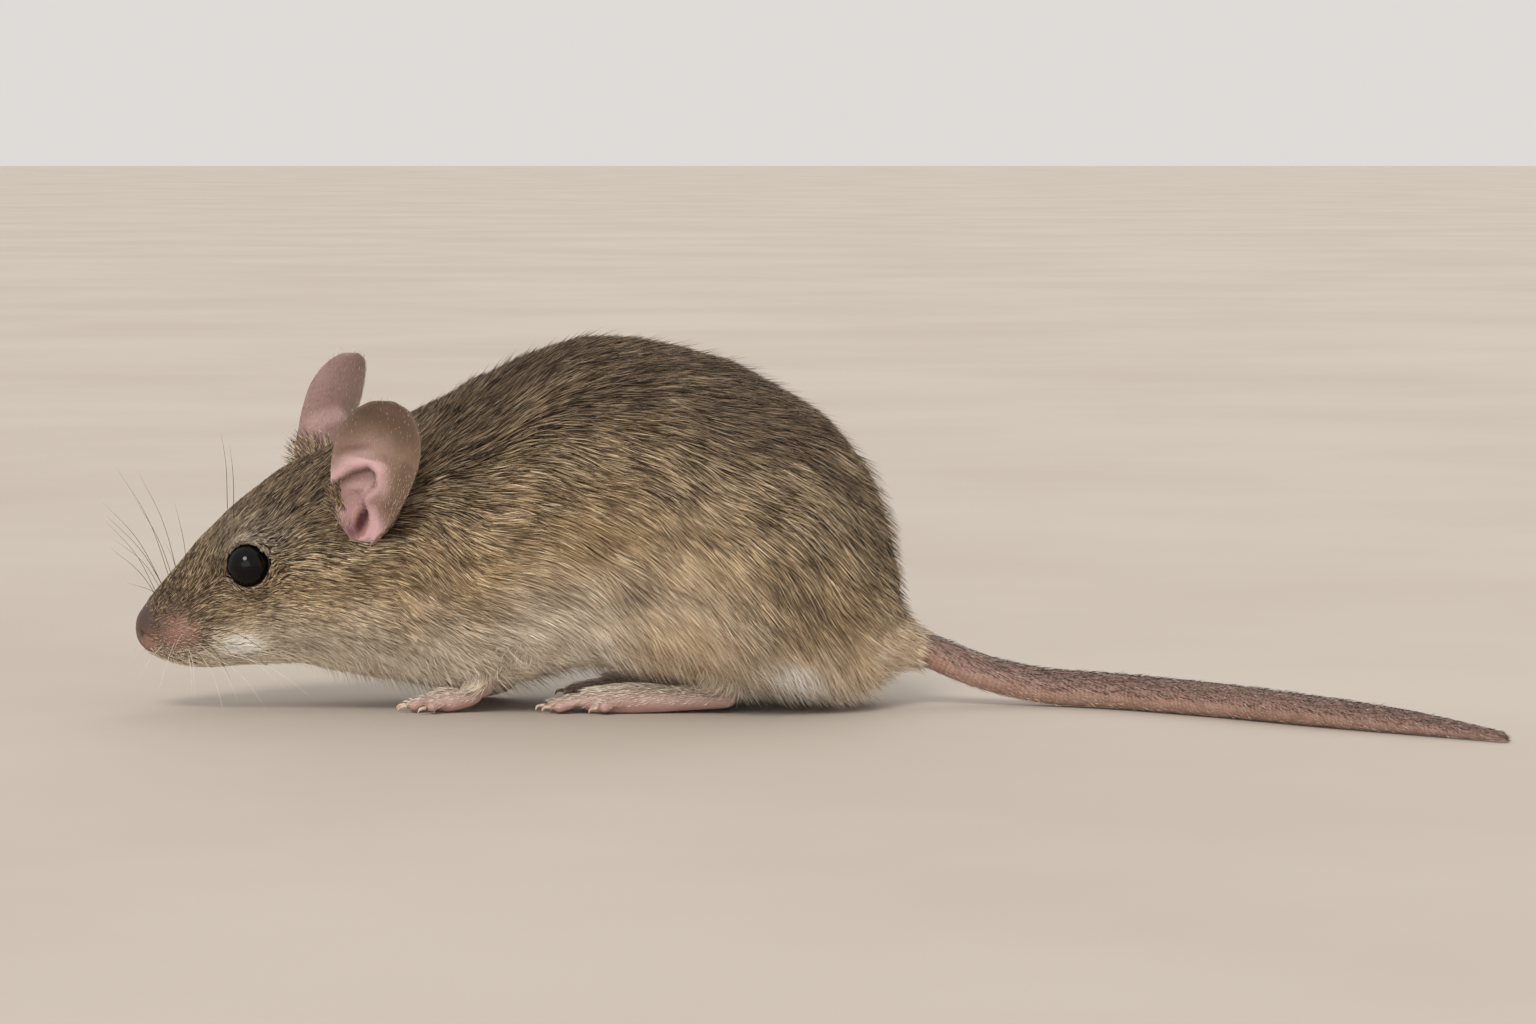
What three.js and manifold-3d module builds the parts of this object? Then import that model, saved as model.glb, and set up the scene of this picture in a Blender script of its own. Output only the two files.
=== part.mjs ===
// House mouse (Mus musculus), adult, crouching on all four feet with its tail laid out behind it. Life size.
// Millimetres, +Z up. The nose points along -X, the animal's left side faces -Y and the floor is z = 0.
// The solids follow the outside of the coat. Every cut between two parts is a gap of CUT.

import * as THREE from 'three';
import { mergeVertices } from 'three/addons/utils/BufferGeometryUtils.js';
import Module from 'manifold-3d';

const wasm = await Module();
wasm.setup();

// ---------------------------------------------------------------- driving dimensions

const CUT = 0.3; // gap between two neighbouring parts
const BODY_RINGS = 41; // rings from the nose to the root of the tail
const BODY_SIDES = 24; // corners of one ring
const LEFT = -1;
const RIGHT = 1;
const FAR = 60; // further out than any part of the body

const NOSE_CUT = [-53.7, 0.12]; // [x on the floor, lean], as between() takes them
const HEAD_CUT = [-34.4, 0.28];
const NECK_CUT = [-27.5, 0.22];

const EYE_RADIUS = 1.8;
const EYE_CENTRE = { x: -46.0, side: 4.75, z: 13.2 }; // side is measured from the head's middle plane
const EYE_GAP = 0.2; // room round the eyeball in its socket

const EAR_HEIGHT = 12.6; // from the root to the tip of the shell
const EAR_THICKNESS = 0.5;
const EAR_LEAN = 1.3; // how far the tip leans back from the hollow

const HEAD_TURN = THREE.MathUtils.degToRad(12); // the head looks a little to its left
const HEAD_ROLL = THREE.MathUtils.degToRad(5); // and its left side is held a little lower
const TURN_FROM = -27; // x where the turn starts, in the neck
const TURN_DONE = -38; // x where the whole head has turned
const TURN_PIVOT = { x: -31, z: 14 };

const FORE_SPREAD = 5.9; // the forefeet's distance from the middle plane
const HIND_SPREAD = 6.4; // and the hind feet's
const CLAW_LENGTH = 1.15; // beyond the tip of the digit's pad
const RIGHT_FORE_SHIFT = 2.4; // the right forefoot stands a little further back
const RIGHT_HIND_SHIFT = 1.2; // and so does the right hind foot

const TAIL_RADII = [1.5, 1.55, 1.58, 1.52, 1.43, 1.28, 0.98, 0.45]; // at equal steps from its root to its tip
const TAIL_ROUNDED = 0.985; // share of the length where the rounding of the tip starts
const TAIL_FLAT = 0.12; // how far the tail's underside is pressed flat on the floor
const TAIL_PARTS = ['tail_base', 'tail_middle', 'tail_tip'];

// Stations of the body from the nose to the root of the tail. top and bottom are [x, z] on the coat's outline
// in the middle plane. half is the half width, and waist the height of the widest place as a share of it all.
const STATIONS = [
  { at: 'point of the nose', top: [-55.3, 7.4], bottom: [-55.25, 6.4], half: 0.5, waist: 0.5 },
  { at: 'tip of the snout', top: [-55.05, 8.1], bottom: [-54.95, 5.75], half: 1.1, waist: 0.5 },
  { at: 'nostrils', top: [-54.4, 9.2], bottom: [-54.1, 4.9], half: 1.9, waist: 0.45 },
  { at: 'whisker pads', top: [-52.2, 11.8], bottom: [-51.6, 3.9], half: 3.1, waist: 0.42 },
  { at: 'bridge of the nose', top: [-49.0, 15.5], bottom: [-48.6, 3.6], half: 4.5, waist: 0.44 },
  { at: 'eyes', top: [-45.3, 18.8], bottom: [-45.0, 3.9], half: 5.9, waist: 0.46 },
  { at: 'cheeks', top: [-41.1, 21.7], bottom: [-40.6, 3.8], half: 7.6, waist: 0.42 },
  { at: 'ears', top: [-36.0, 23.9], bottom: [-35.6, 2.8], half: 8.9, waist: 0.45 },
  { at: 'nape', top: [-30.5, 25.9], bottom: [-30.2, 1.9], half: 10.0, waist: 0.44 },
  { at: 'shoulders', top: [-24.5, 29.3], bottom: [-24.0, 1.6], half: 11.6, waist: 0.42 },
  { at: 'chest', top: [-17.5, 32.1], bottom: [-16.5, 3.5], half: 13.0, waist: 0.42 },
  { at: 'belly', top: [-9.5, 32.0], bottom: [-8.0, 2.6], half: 13.9, waist: 0.4 },
  { at: 'loin', top: [-1.2, 29.2], bottom: [-1.5, 1.4], half: 13.8, waist: 0.38 },
  { at: 'hips', top: [5.2, 25.3], bottom: [3.6, 0.8], half: 12.4, waist: 0.36 },
  { at: 'rump', top: [9.4, 19.2], bottom: [6.9, 0.7], half: 9.9, waist: 0.34 },
  { at: 'seat', top: [11.0, 13.2], bottom: [9.0, 1.7], half: 7.0, waist: 0.36 },
  { at: 'vent', top: [11.9, 8.8], bottom: [10.7, 3.0], half: 4.2, waist: 0.42 },
  { at: 'root of the tail', top: [13.3, 6.7], bottom: [12.4, 3.6], half: 1.8, waist: 0.5 },
];
const TOP_ROUNDNESS = 2.1; // exponent of the superellipse above the widest place
const BELLY_ROUNDNESS = 2.6; // and below it, where the crouching body is squarer

// Places where the flanks swell out, or in where amount is negative: centre and reach as [x, z].
const SWELLINGS = [
  { at: 'whisker pad', centre: [-51.8, 7.0], reach: [1.8, 1.9], amount: 0.55 },
  { at: 'hollow before the eye', centre: [-48.3, 11.6], reach: [2.0, 2.2], amount: -0.4 },
  { at: 'cheek', centre: [-41.2, 8.6], reach: [3.6, 3.6], amount: 0.7 },
  { at: 'side of the neck', centre: [-31.5, 10.5], reach: [3.0, 6.5], amount: -0.7 },
  { at: 'shoulder', centre: [-24.5, 11.5], reach: [4.2, 6.0], amount: 0.8 },
  { at: 'flank', centre: [-16.5, 8.0], reach: [3.0, 5.5], amount: -0.8 },
  { at: 'haunch', centre: [-3.5, 11.0], reach: [7.5, 7.5], amount: 1.3 },
];

// The shell of the ear from its root to its tip: half width, and the half angle its section is rolled round.
const EAR_STATIONS = [
  { height: 0, half: 1.5, roll: 125 },
  { height: 1.4, half: 2.0, roll: 115 },
  { height: 3.0, half: 2.9, roll: 88 },
  { height: 5.0, half: 3.5, roll: 64 },
  { height: 7.2, half: 3.95, roll: 50 },
  { height: 9.2, half: 3.95, roll: 43 },
  { height: 10.8, half: 3.35, roll: 38 },
  { height: 11.8, half: 2.5, roll: 34 },
  { height: 12.4, half: 1.4, roll: 30 },
  { height: EAR_HEIGHT, half: 0.3, roll: 30 },
];

const COLOURS = {
  coat: { color: 0x76664f, roughness: 0.85 },
  paleCoat: { color: 0x9c8c72, roughness: 0.85 },
  skin: { color: 0xc09a8c, roughness: 0.6 },
  earSkin: { color: 0x8d7263, roughness: 0.6 },
  tailSkin: { color: 0x8c6a60, roughness: 0.65 },
  noseSkin: { color: 0x8a6a60, roughness: 0.45 },
  eye: { color: 0x0a0808, roughness: 0.06 },
};

// ---------------------------------------------------------------- shapes and solids

const point = (x, y, z) => new THREE.Vector3(x, y, z);

/** A closed geometry over rings of points. The rings follow each other along the form, each one turning
 *  clockwise seen from the end it starts at, and the first and last are closed by fans. */
function loft(rings) {
  const sides = rings[0].length;
  const position = [];
  const index = [];
  for (const ring of rings) {
    for (const p of ring) position.push(p.x, p.y, p.z);
  }
  for (let r = 0; r + 1 < rings.length; r++) {
    for (let s = 0; s < sides; s++) {
      const a = r * sides + s;
      const b = r * sides + ((s + 1) % sides);
      index.push(a, b, a + sides, b, b + sides, a + sides);
    }
  }
  for (const end of [0, rings.length - 1]) {
    const middle = rings[end].reduce((sum, p) => sum.add(p), point(0, 0, 0)).divideScalar(sides);
    const hub = position.length / 3;
    position.push(middle.x, middle.y, middle.z);
    for (let s = 0; s < sides; s++) {
      const a = end * sides + s;
      const b = end * sides + ((s + 1) % sides);
      if (end === 0) index.push(hub, b, a);
      else index.push(hub, a, b);
    }
  }
  const geometry = new THREE.BufferGeometry();
  geometry.setAttribute('position', new THREE.Float32BufferAttribute(position, 3));
  geometry.setIndex(index);
  return geometry;
}

/** The manifold-3d solid of a closed geometry. */
function solid(geometry) {
  const bare = geometry.clone();
  bare.deleteAttribute('normal');
  bare.deleteAttribute('uv');
  const merged = mergeVertices(bare, 1e-4);
  return new wasm.Manifold(
    new wasm.Mesh({
      numProp: 3,
      vertProperties: merged.attributes.position.array,
      triVerts: new Uint32Array(merged.index.array),
    }),
  );
}

/** The geometry of a manifold-3d solid. */
function geometryOf(manifold) {
  const { numProp, vertProperties, triVerts } = manifold.getMesh();
  const position = [];
  for (let i = 0; i < vertProperties.length; i += numProp) {
    position.push(vertProperties[i], vertProperties[i + 1], vertProperties[i + 2]);
  }
  const geometry = new THREE.BufferGeometry();
  geometry.setAttribute('position', new THREE.Float32BufferAttribute(position, 3));
  geometry.setIndex(Array.from(triVerts));
  return geometry;
}

const union = (solids) => solids.reduce((all, next) => all.add(next));

/** A ball, or an ellipsoid where radius is a list of three. */
function ball(radius, centre, segments = 20) {
  const [rx, ry, rz] = Array.isArray(radius) ? radius : [radius, radius, radius];
  const geometry = new THREE.SphereGeometry(1, segments, Math.round(segments * 0.6));
  geometry.rotateX(Math.PI / 2);
  geometry.scale(rx, ry, rz);
  geometry.translate(centre.x, centre.y, centre.z);
  return solid(geometry);
}

/** Everything between two upright planes across the body, given as [x, tilt]: tilt leans the plane's top
 *  towards +X by that many millimetres per millimetre of height. */
function between([x0, tilt0], [x1, tilt1]) {
  const low = -5;
  const high = 36;
  const wide = 80;
  const outline = new THREE.Shape([
    new THREE.Vector2(x0 + tilt0 * low, low),
    new THREE.Vector2(x1 + tilt1 * low, low),
    new THREE.Vector2(x1 + tilt1 * high, high),
    new THREE.Vector2(x0 + tilt0 * high, high),
  ]);
  const slab = new THREE.ExtrudeGeometry(outline, { depth: wide, bevelEnabled: false });
  slab.rotateX(Math.PI / 2);
  slab.translate(0, wide / 2, 0);
  return solid(slab);
}

const underFloor = (() => {
  const box = new THREE.BoxGeometry(300, 200, 20);
  box.translate(0, 0, -10);
  return solid(box);
})();

// ---------------------------------------------------------------- the body's form

const topLine = new THREE.CatmullRomCurve3(STATIONS.map((s) => point(s.top[0], 0, s.top[1])));
const bottomLine = new THREE.CatmullRomCurve3(STATIONS.map((s) => point(s.bottom[0], 0, s.bottom[1])));
const widthLine = new THREE.CatmullRomCurve3(STATIONS.map((s, i) => point(i, s.half, s.waist)));

/** Turns and rolls a point of the straight head into its pose. */
function posed(p) {
  const share = THREE.MathUtils.smoothstep(-p.x, -TURN_FROM, -TURN_DONE);
  const pivot = point(TURN_PIVOT.x, 0, TURN_PIVOT.z);
  return p
    .clone()
    .sub(pivot)
    .applyAxisAngle(point(1, 0, 0), HEAD_ROLL * share)
    .applyAxisAngle(point(0, 0, 1), HEAD_TURN * share)
    .add(pivot);
}

/** How far the flank swells out at a place in side view. */
function swelling(x, z) {
  return SWELLINGS.reduce((sum, { centre, reach, amount }) => {
    const dx = (x - centre[0]) / reach[0];
    const dz = (z - centre[1]) / reach[1];
    return sum + amount * Math.exp(-dx * dx - dz * dz);
  }, 0);
}

/** One ring of the body at share t of its length, grown outwards by grow. */
function bodyRing(t, grow) {
  const top = topLine.getPoint(t);
  const bottom = bottomLine.getPoint(t);
  const { y: half, z: waist } = widthLine.getPoint(t);
  const up = top.clone().sub(bottom).normalize();
  top.addScaledVector(up, grow);
  bottom.addScaledVector(up, -grow);
  const middle = bottom.clone().lerp(top, waist);
  const ring = [];
  for (let s = 0; s < BODY_SIDES; s++) {
    const angle = (2 * Math.PI * s) / BODY_SIDES;
    const across = Math.cos(angle);
    const along = Math.sin(angle);
    const power = 2 / (along > 0 ? TOP_ROUNDNESS : BELLY_ROUNDNESS);
    const p = middle.clone().lerp(along > 0 ? top : bottom, Math.abs(along) ** power);
    const side = Math.sign(across) * Math.abs(across) ** power;
    p.y = side * (half + grow + swelling(p.x, p.z));
    ring.push(posed(p));
  }
  return ring;
}

/** The whole furred body without limbs, ears and tail. */
function bodyForm(grow = 0) {
  const rings = [];
  for (let r = 0; r < BODY_RINGS; r++) rings.push(bodyRing(r / (BODY_RINGS - 1), grow));
  return solid(loft(rings));
}

/** A round limb along a smooth line through points, with a radius at each of them. Its section may be flatter
 *  than it is wide, and both ends are rounded. */
function limb(points, radii, { sides = 10, steps = 2, flat = 1, roundings = [0.12, 0.5] } = {}) {
  const line = new THREE.CatmullRomCurve3(points);
  const radiusLine = new THREE.CatmullRomCurve3(radii.map((r, i) => point(i, r, 0)));
  const length = line.getLength();
  const startRadius = radii[0];
  const endRadius = radii[radii.length - 1];
  const stops = [...roundings.map((k) => ({ t: (k * startRadius) / length, k }))];
  const inner = (points.length - 1) * steps;
  for (let i = 0; i <= inner; i++) {
    const from = startRadius / length;
    const to = 1 - endRadius / length;
    stops.push({ t: from + ((to - from) * i) / inner, k: 1 });
  }
  stops.push(...roundings.map((k) => ({ t: 1 - (k * endRadius) / length, k })).reverse());
  const rings = stops.map(({ t, k }) => {
    const centre = line.getPointAt(t);
    const ahead = line.getTangentAt(t);
    const side = point(-ahead.y, ahead.x, 0).normalize();
    const over = ahead.clone().cross(side);
    const radius = radiusLine.getPoint(line.getUtoTmapping(t)).y * Math.sqrt(1 - (1 - k) ** 2);
    const ring = [];
    for (let s = 0; s < sides; s++) {
      const angle = (2 * Math.PI * s) / sides;
      ring.push(
        centre
          .clone()
          .addScaledVector(side, radius * Math.cos(angle))
          .addScaledVector(over, radius * flat * Math.sin(angle)),
      );
    }
    return ring;
  });
  return solid(loft(rings));
}

// ---------------------------------------------------------------- ears

/** One ear: a dished shell, rolled nearly shut at its root. hinge is the root's centre, rise the way the ear
 *  stands up and open the way its hollow faces. */
function ear(hinge, rise, open) {
  const levels = 13;
  const across = 8;
  const up = rise.clone().normalize();
  const front = open.clone().addScaledVector(up, -open.dot(up)).normalize();
  const side = up.clone().cross(front);
  const widthOf = new THREE.CatmullRomCurve3(EAR_STATIONS.map((s) => point(s.height, s.half, s.roll)));
  const rings = [];
  for (let l = 0; l <= levels; l++) {
    const { x: height, y: half, z: roll } = widthOf.getPoint(l / levels);
    const halfAngle = THREE.MathUtils.degToRad(roll);
    const radius = half / Math.sin(Math.min(halfAngle, Math.PI / 2));
    const lean = EAR_LEAN * (height / EAR_HEIGHT) ** 2;
    const wall = (angle, r) =>
      hinge
        .clone()
        .addScaledVector(up, height)
        .addScaledVector(side, r * Math.sin(angle))
        .addScaledVector(front, radius * Math.cos(halfAngle / 2) - r * Math.cos(angle) - lean);
    const thickness = Math.min(EAR_THICKNESS, radius * 0.7);
    const ring = [];
    for (let a = 0; a <= across; a++) ring.push(wall(halfAngle * ((2 * a) / across - 1), radius));
    for (let a = across; a >= 0; a--) {
      ring.push(wall(halfAngle * ((2 * a) / across - 1), radius - thickness));
    }
    rings.push(ring);
  }
  return solid(loft(rings.reverse()));
}

// ---------------------------------------------------------------- feet

/** Mirrors a left-side point to the right and shifts it along the body. */
const placed = (side, shift) => (x, y, z) => point(x + shift, -side * y, z);

/** A digit with its claw, from its knuckle to the tip of its pad. */
function digit(knuckle, tip, radius) {
  const ahead = tip.clone().sub(knuckle).normalize();
  const clawRoot = tip.clone().addScaledVector(ahead, radius * 0.9);
  clawRoot.z += 0.1;
  const clawTip = tip.clone().addScaledVector(ahead, CLAW_LENGTH);
  clawTip.z = 0.22;
  return limb(
    [knuckle, tip, clawRoot, clawTip],
    [radius * 1.25, radius, radius * 0.55, 0.14],
    { sides: 5, steps: 1, roundings: [0.3] },
  );
}

/** The forefoot: wrist, palm and digits two to five. */
function forefoot(side, shift) {
  const at = placed(side, shift);
  const y = -FORE_SPREAD;
  const radius = 0.42;
  const digits = [
    { knuckle: at(-28.2, y + 0.95, 0.65), tip: at(-30.5, y + 1.75, 0.34) },
    { knuckle: at(-28.7, y + 0.35, 0.72), tip: at(-31.2, y + 0.55, 0.34) },
    { knuckle: at(-28.6, y - 0.4, 0.72), tip: at(-31.0, y - 0.7, 0.34) },
    { knuckle: at(-27.8, y - 1.0, 0.65), tip: at(-29.3, y - 2.0, 0.34) },
  ];
  const palm = limb(
    [at(-24.7, y, 1.9), at(-26.0, y, 1.15), at(-27.3, y - 0.05, 0.9), at(-29.2, y - 0.05, 0.8)],
    [0.95, 1.1, 1.35, 1.15],
    { flat: 0.74, sides: 10, steps: 1 },
  );
  return union([palm, ...digits.map(({ knuckle, tip }) => digit(knuckle, tip, radius))]);
}

/** The forearm from the wrist up into the coat. */
function forearm(side, shift) {
  const at = placed(side, shift);
  const y = -FORE_SPREAD;
  return limb(
    [at(-25.3, y, 1.5), at(-24.2, y - 0.2, 3.2), at(-22.4, y - 0.6, 6.2), at(-20.8, y - 1.2, 9.0)],
    [1.15, 1.5, 2.1, 2.4],
    { sides: 8, steps: 1 },
  );
}

/** The hind foot: long sole, five digits and the ankle rising from the heel into the coat of the haunch. */
function hindfoot(side, shift) {
  const at = placed(side, shift);
  const y = -HIND_SPREAD;
  const radius = 0.46;
  const digits = [
    { knuckle: at(-11.8, y + 1.0, 0.75), tip: at(-14.7, y + 2.0, 0.37) },
    { knuckle: at(-14.9, y + 0.95, 0.75), tip: at(-18.3, y + 1.45, 0.37) },
    { knuckle: at(-15.3, y + 0.1, 0.8), tip: at(-19.1, y + 0.15, 0.37) },
    { knuckle: at(-15.0, y - 0.75, 0.75), tip: at(-18.5, y - 1.1, 0.37) },
    { knuckle: at(-12.3, y - 1.0, 0.75), tip: at(-14.5, y - 1.9, 0.37) },
  ];
  const sole = limb(
    [at(-2.6, y, 1.35), at(-7.0, y, 1.1), at(-12.0, y, 1.0), at(-16.2, y, 0.8)],
    [1.3, 1.3, 1.6, 1.3],
    { flat: 0.8, sides: 10, steps: 1 },
  );
  const ankle = limb(
    [at(-3.4, y, 1.7), at(-4.0, y - 0.2, 3.6), at(-6.0, y - 0.8, 6.4)],
    [1.45, 1.7, 2.2],
    { sides: 8, steps: 1 },
  );
  return union([sole, ankle, ...digits.map(({ knuckle, tip }) => digit(knuckle, tip, radius))]);
}

// ---------------------------------------------------------------- tail

// The line of the tail's underside. From its fourth point on it is pressed TAIL_FLAT into the floor.
const tailLine = new THREE.CatmullRomCurve3([
  point(10.8, 0, 4.6),
  point(14.0, 0, 3.2),
  point(18.5, -0.1, 1.35),
  point(24.0, -0.7, 0.1),
  point(30.0, -3.2, -TAIL_FLAT),
  point(38.0, -9.2, -TAIL_FLAT),
  point(47.0, -17.4, -TAIL_FLAT),
  point(54.5, -23.6, -TAIL_FLAT),
  point(60.8, -28.8, -TAIL_FLAT),
]);

const tailRadii = new THREE.CatmullRomCurve3(TAIL_RADII.map((r, i) => point(i, r, 0)));

/** The tail's radius at share t of its length, with a rounded tip. */
function tailRadius(t) {
  const taper = tailRadii.getPoint(t).y;
  const end = Math.max(0, (t - TAIL_ROUNDED) / (1.0003 - TAIL_ROUNDED));
  return taper * Math.sqrt(1 - end * end);
}

/** One length of the tail between two shares of its length. */
function tailPart(from, to) {
  const steps = 10;
  const sides = 10;
  const rings = [];
  for (let i = 0; i <= steps; i++) {
    const t = from + ((to - from) * i) / steps;
    const radius = tailRadius(t);
    const centre = tailLine.getPointAt(t);
    centre.z += radius;
    const ahead = tailLine.getTangentAt(t);
    const side = point(-ahead.y, ahead.x, 0).normalize();
    const over = ahead.clone().cross(side);
    const ring = [];
    for (let s = 0; s < sides; s++) {
      const angle = (2 * Math.PI * (s + 0.5)) / sides;
      ring.push(
        centre
          .clone()
          .addScaledVector(side, radius * Math.cos(angle))
          .addScaledVector(over, radius * Math.sin(angle)),
      );
    }
    rings.push(ring);
  }
  return solid(loft(rings));
}

// ---------------------------------------------------------------- the parts

const behind = ([x, tilt]) => [x + CUT, tilt];

const animal = new THREE.Group();

/** Adds a solid to the animal as a named mesh. */
function addPart(name, manifold, look) {
  const material = new THREE.MeshStandardMaterial({ metalness: 0, ...COLOURS[look] });
  const mesh = new THREE.Mesh(geometryOf(manifold), material);
  mesh.name = name;
  animal.add(mesh);
}

const body = bodyForm();
const grownBody = bodyForm(CUT);
const sides = [
  { name: 'left', side: LEFT, foreShift: 0, hindShift: 0 },
  { name: 'right', side: RIGHT, foreShift: RIGHT_FORE_SHIFT, hindShift: RIGHT_HIND_SHIFT },
];

// The lower jaw is what lies under the mouth's line, between the chin and the corner of the mouth.
const mouth = new THREE.Shape();
mouth.moveTo(-51.9, 2.0);
mouth.quadraticCurveTo(-51.6, 4.9, -49.6, 5.1);
mouth.quadraticCurveTo(-47.2, 5.3, -45.6, 6.0);
mouth.lineTo(-45.0, 2.0);
mouth.closePath();

/** The space under the mouth's line, with its sides moved outwards by grow. */
function underMouth(grow) {
  const half = 2.6 + grow;
  const block = new THREE.ExtrudeGeometry(mouth, { depth: 2 * half, bevelEnabled: false, curveSegments: 6 });
  const middle = point(-48.5, 0, 3.5);
  block.translate(-middle.x, -middle.z, -half);
  block.scale(1 + grow / 3.4, 1 + grow / 1.6, 1);
  block.translate(middle.x, middle.z, 0);
  block.rotateX(Math.PI / 2);
  return solid(block).warp((p) => {
    const moved = posed(point(p[0], p[1], p[2]));
    [p[0], p[1], p[2]] = [moved.x, moved.y, moved.z];
  });
}

// Head
let skull = body.intersect(between(behind(NOSE_CUT), HEAD_CUT)).subtract(underMouth(CUT));
addPart('nose', body.intersect(between([-FAR, 0], NOSE_CUT)).subtract(underMouth(CUT)), 'noseSkin');
addPart('lower_jaw', body.intersect(underMouth(0)), 'paleCoat');
for (const { name, side } of sides) {
  const centre = posed(point(EYE_CENTRE.x, side * EYE_CENTRE.side, EYE_CENTRE.z));
  skull = skull.subtract(ball(EYE_RADIUS + EYE_GAP, centre, 12));
  addPart(`eye_${name}`, ball(EYE_RADIUS, centre, 16), 'eye');
}
addPart('head', skull, 'coat');
addPart('neck', body.intersect(between(behind(HEAD_CUT), NECK_CUT)), 'coat');

// Ears
const EARS = [
  { name: 'left', hinge: [-34.6, -7.8, 14.7], rise: [0.18, -0.24, 1], open: [-0.31, -0.95, 0.05] },
  { name: 'right', hinge: [-39.4, 7.7, 18.1], rise: [0.15, 0.14, 1], open: [-0.86, 0.51, 0.08] },
];
for (const { name, hinge, rise, open } of EARS) {
  addPart(`ear_${name}`, ear(point(...hinge), point(...rise), point(...open)).subtract(grownBody), 'earSkin');
}

// Trunk, with the upper arms and the haunches as parts of their own
const limbRegions = [
  { name: 'upper_arm', radii: [4.6, 6, 6.4], centre: [-22.6, 12.4, 8.6] },
  { name: 'haunch', radii: [9.0, 7.6, 9.0], centre: [-3.2, 14.6, 10.4] },
];
let trunk = body.intersect(between(behind(NECK_CUT), [FAR, 0]));
for (const { name: sideName, side } of sides) {
  for (const { name, radii, centre } of limbRegions) {
    const place = point(centre[0], side * centre[1], centre[2]);
    addPart(`${name}_${sideName}`, trunk.intersect(ball(radii, place, 16)), 'paleCoat');
    trunk = trunk.subtract(ball(radii.map((r) => r + CUT), place, 16));
  }
}
addPart('trunk', trunk, 'coat');

// Legs
const trimmed = (manifold) => manifold.subtract(grownBody).subtract(underFloor);
for (const { name, side, foreShift, hindShift } of sides) {
  const paw = forefoot(side, foreShift);
  const grownPaw = paw.translate(0, 0, CUT).add(paw);
  addPart(`forearm_${name}`, trimmed(forearm(side, foreShift)).subtract(grownPaw), 'skin');
  addPart(`forefoot_${name}`, trimmed(paw), 'skin');
  addPart(`hindfoot_${name}`, trimmed(hindfoot(side, hindShift)), 'skin');
}

// Tail
const gap = CUT / tailLine.getLength();
TAIL_PARTS.forEach((name, i) => {
  const from = i / TAIL_PARTS.length + (i ? gap : 0);
  addPart(name, trimmed(tailPart(from, (i + 1) / TAIL_PARTS.length)), 'tailSkin');
});

// The model's origin is on the floor, under the middle of its length and width.
const mouse = new THREE.Group();
const middle = new THREE.Box3().setFromObject(animal).getCenter(point(0, 0, 0));
animal.position.set(-middle.x, -middle.y, 0);
mouse.add(animal);

export default mouse;
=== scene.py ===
import math

import bpy
import numpy as np
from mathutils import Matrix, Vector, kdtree


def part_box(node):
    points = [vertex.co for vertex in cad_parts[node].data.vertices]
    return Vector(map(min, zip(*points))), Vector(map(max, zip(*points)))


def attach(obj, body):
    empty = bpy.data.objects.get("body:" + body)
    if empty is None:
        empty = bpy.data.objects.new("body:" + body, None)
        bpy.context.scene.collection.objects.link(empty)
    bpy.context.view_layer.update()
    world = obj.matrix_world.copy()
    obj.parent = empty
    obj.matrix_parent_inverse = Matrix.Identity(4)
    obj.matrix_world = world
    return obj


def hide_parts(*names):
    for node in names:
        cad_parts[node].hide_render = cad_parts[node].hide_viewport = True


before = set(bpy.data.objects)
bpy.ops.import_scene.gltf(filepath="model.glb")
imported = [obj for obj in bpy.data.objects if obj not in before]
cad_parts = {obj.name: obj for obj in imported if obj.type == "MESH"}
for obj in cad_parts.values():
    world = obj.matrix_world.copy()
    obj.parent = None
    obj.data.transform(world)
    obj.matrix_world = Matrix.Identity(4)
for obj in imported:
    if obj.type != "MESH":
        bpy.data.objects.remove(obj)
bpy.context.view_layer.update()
rng = np.random.default_rng(11)

# House mouse, life size. Shapes are worked out in millimetres in the drawing frame of the solids, where the
# head is straight, then posed and moved to the row frame. -X is forwards, -Y the animal's left side and z = 0
# the floor.

# ---- named sizes

# top (x, z), bottom (x, z), half width, height of the widest place as a share
STATIONS = np.array([
    [-55.3, 7.4, -55.25, 6.4, 0.5, 0.50],    # point of the nose
    [-55.05, 8.1, -54.95, 5.75, 1.1, 0.50],  # tip of the snout
    [-54.4, 9.2, -54.1, 4.9, 1.9, 0.45],     # nostrils
    [-52.2, 11.8, -51.6, 3.9, 3.1, 0.42],    # whisker pads
    [-49.0, 15.5, -48.6, 3.6, 4.5, 0.44],    # bridge of the nose
    [-45.3, 18.8, -45.0, 3.9, 5.9, 0.46],    # eyes
    [-41.1, 21.7, -40.6, 3.8, 7.6, 0.42],    # cheeks
    [-36.0, 23.9, -35.6, 2.8, 8.9, 0.45],    # ears
    [-30.5, 25.9, -30.2, 1.9, 10.0, 0.44],   # nape
    [-24.5, 29.3, -24.0, 1.6, 11.6, 0.42],   # shoulders
    [-17.5, 32.1, -16.5, 3.5, 13.0, 0.42],   # chest
    [-9.5, 32.0, -8.0, 2.6, 13.9, 0.40],     # belly
    [-1.2, 29.2, -1.5, 1.4, 13.8, 0.38],     # loin
    [5.2, 25.3, 3.6, 0.8, 12.4, 0.36],       # hips
    [9.4, 19.2, 6.9, 0.7, 9.9, 0.34],        # rump
    [11.0, 13.2, 9.0, 1.7, 7.0, 0.36],       # seat
    [11.9, 8.8, 10.7, 3.0, 4.2, 0.42],       # vent
    [13.3, 6.7, 12.4, 3.6, 1.8, 0.50],       # root of the tail
])
TOP_ROUNDNESS, BELLY_ROUNDNESS = 2.1, 2.6
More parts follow.
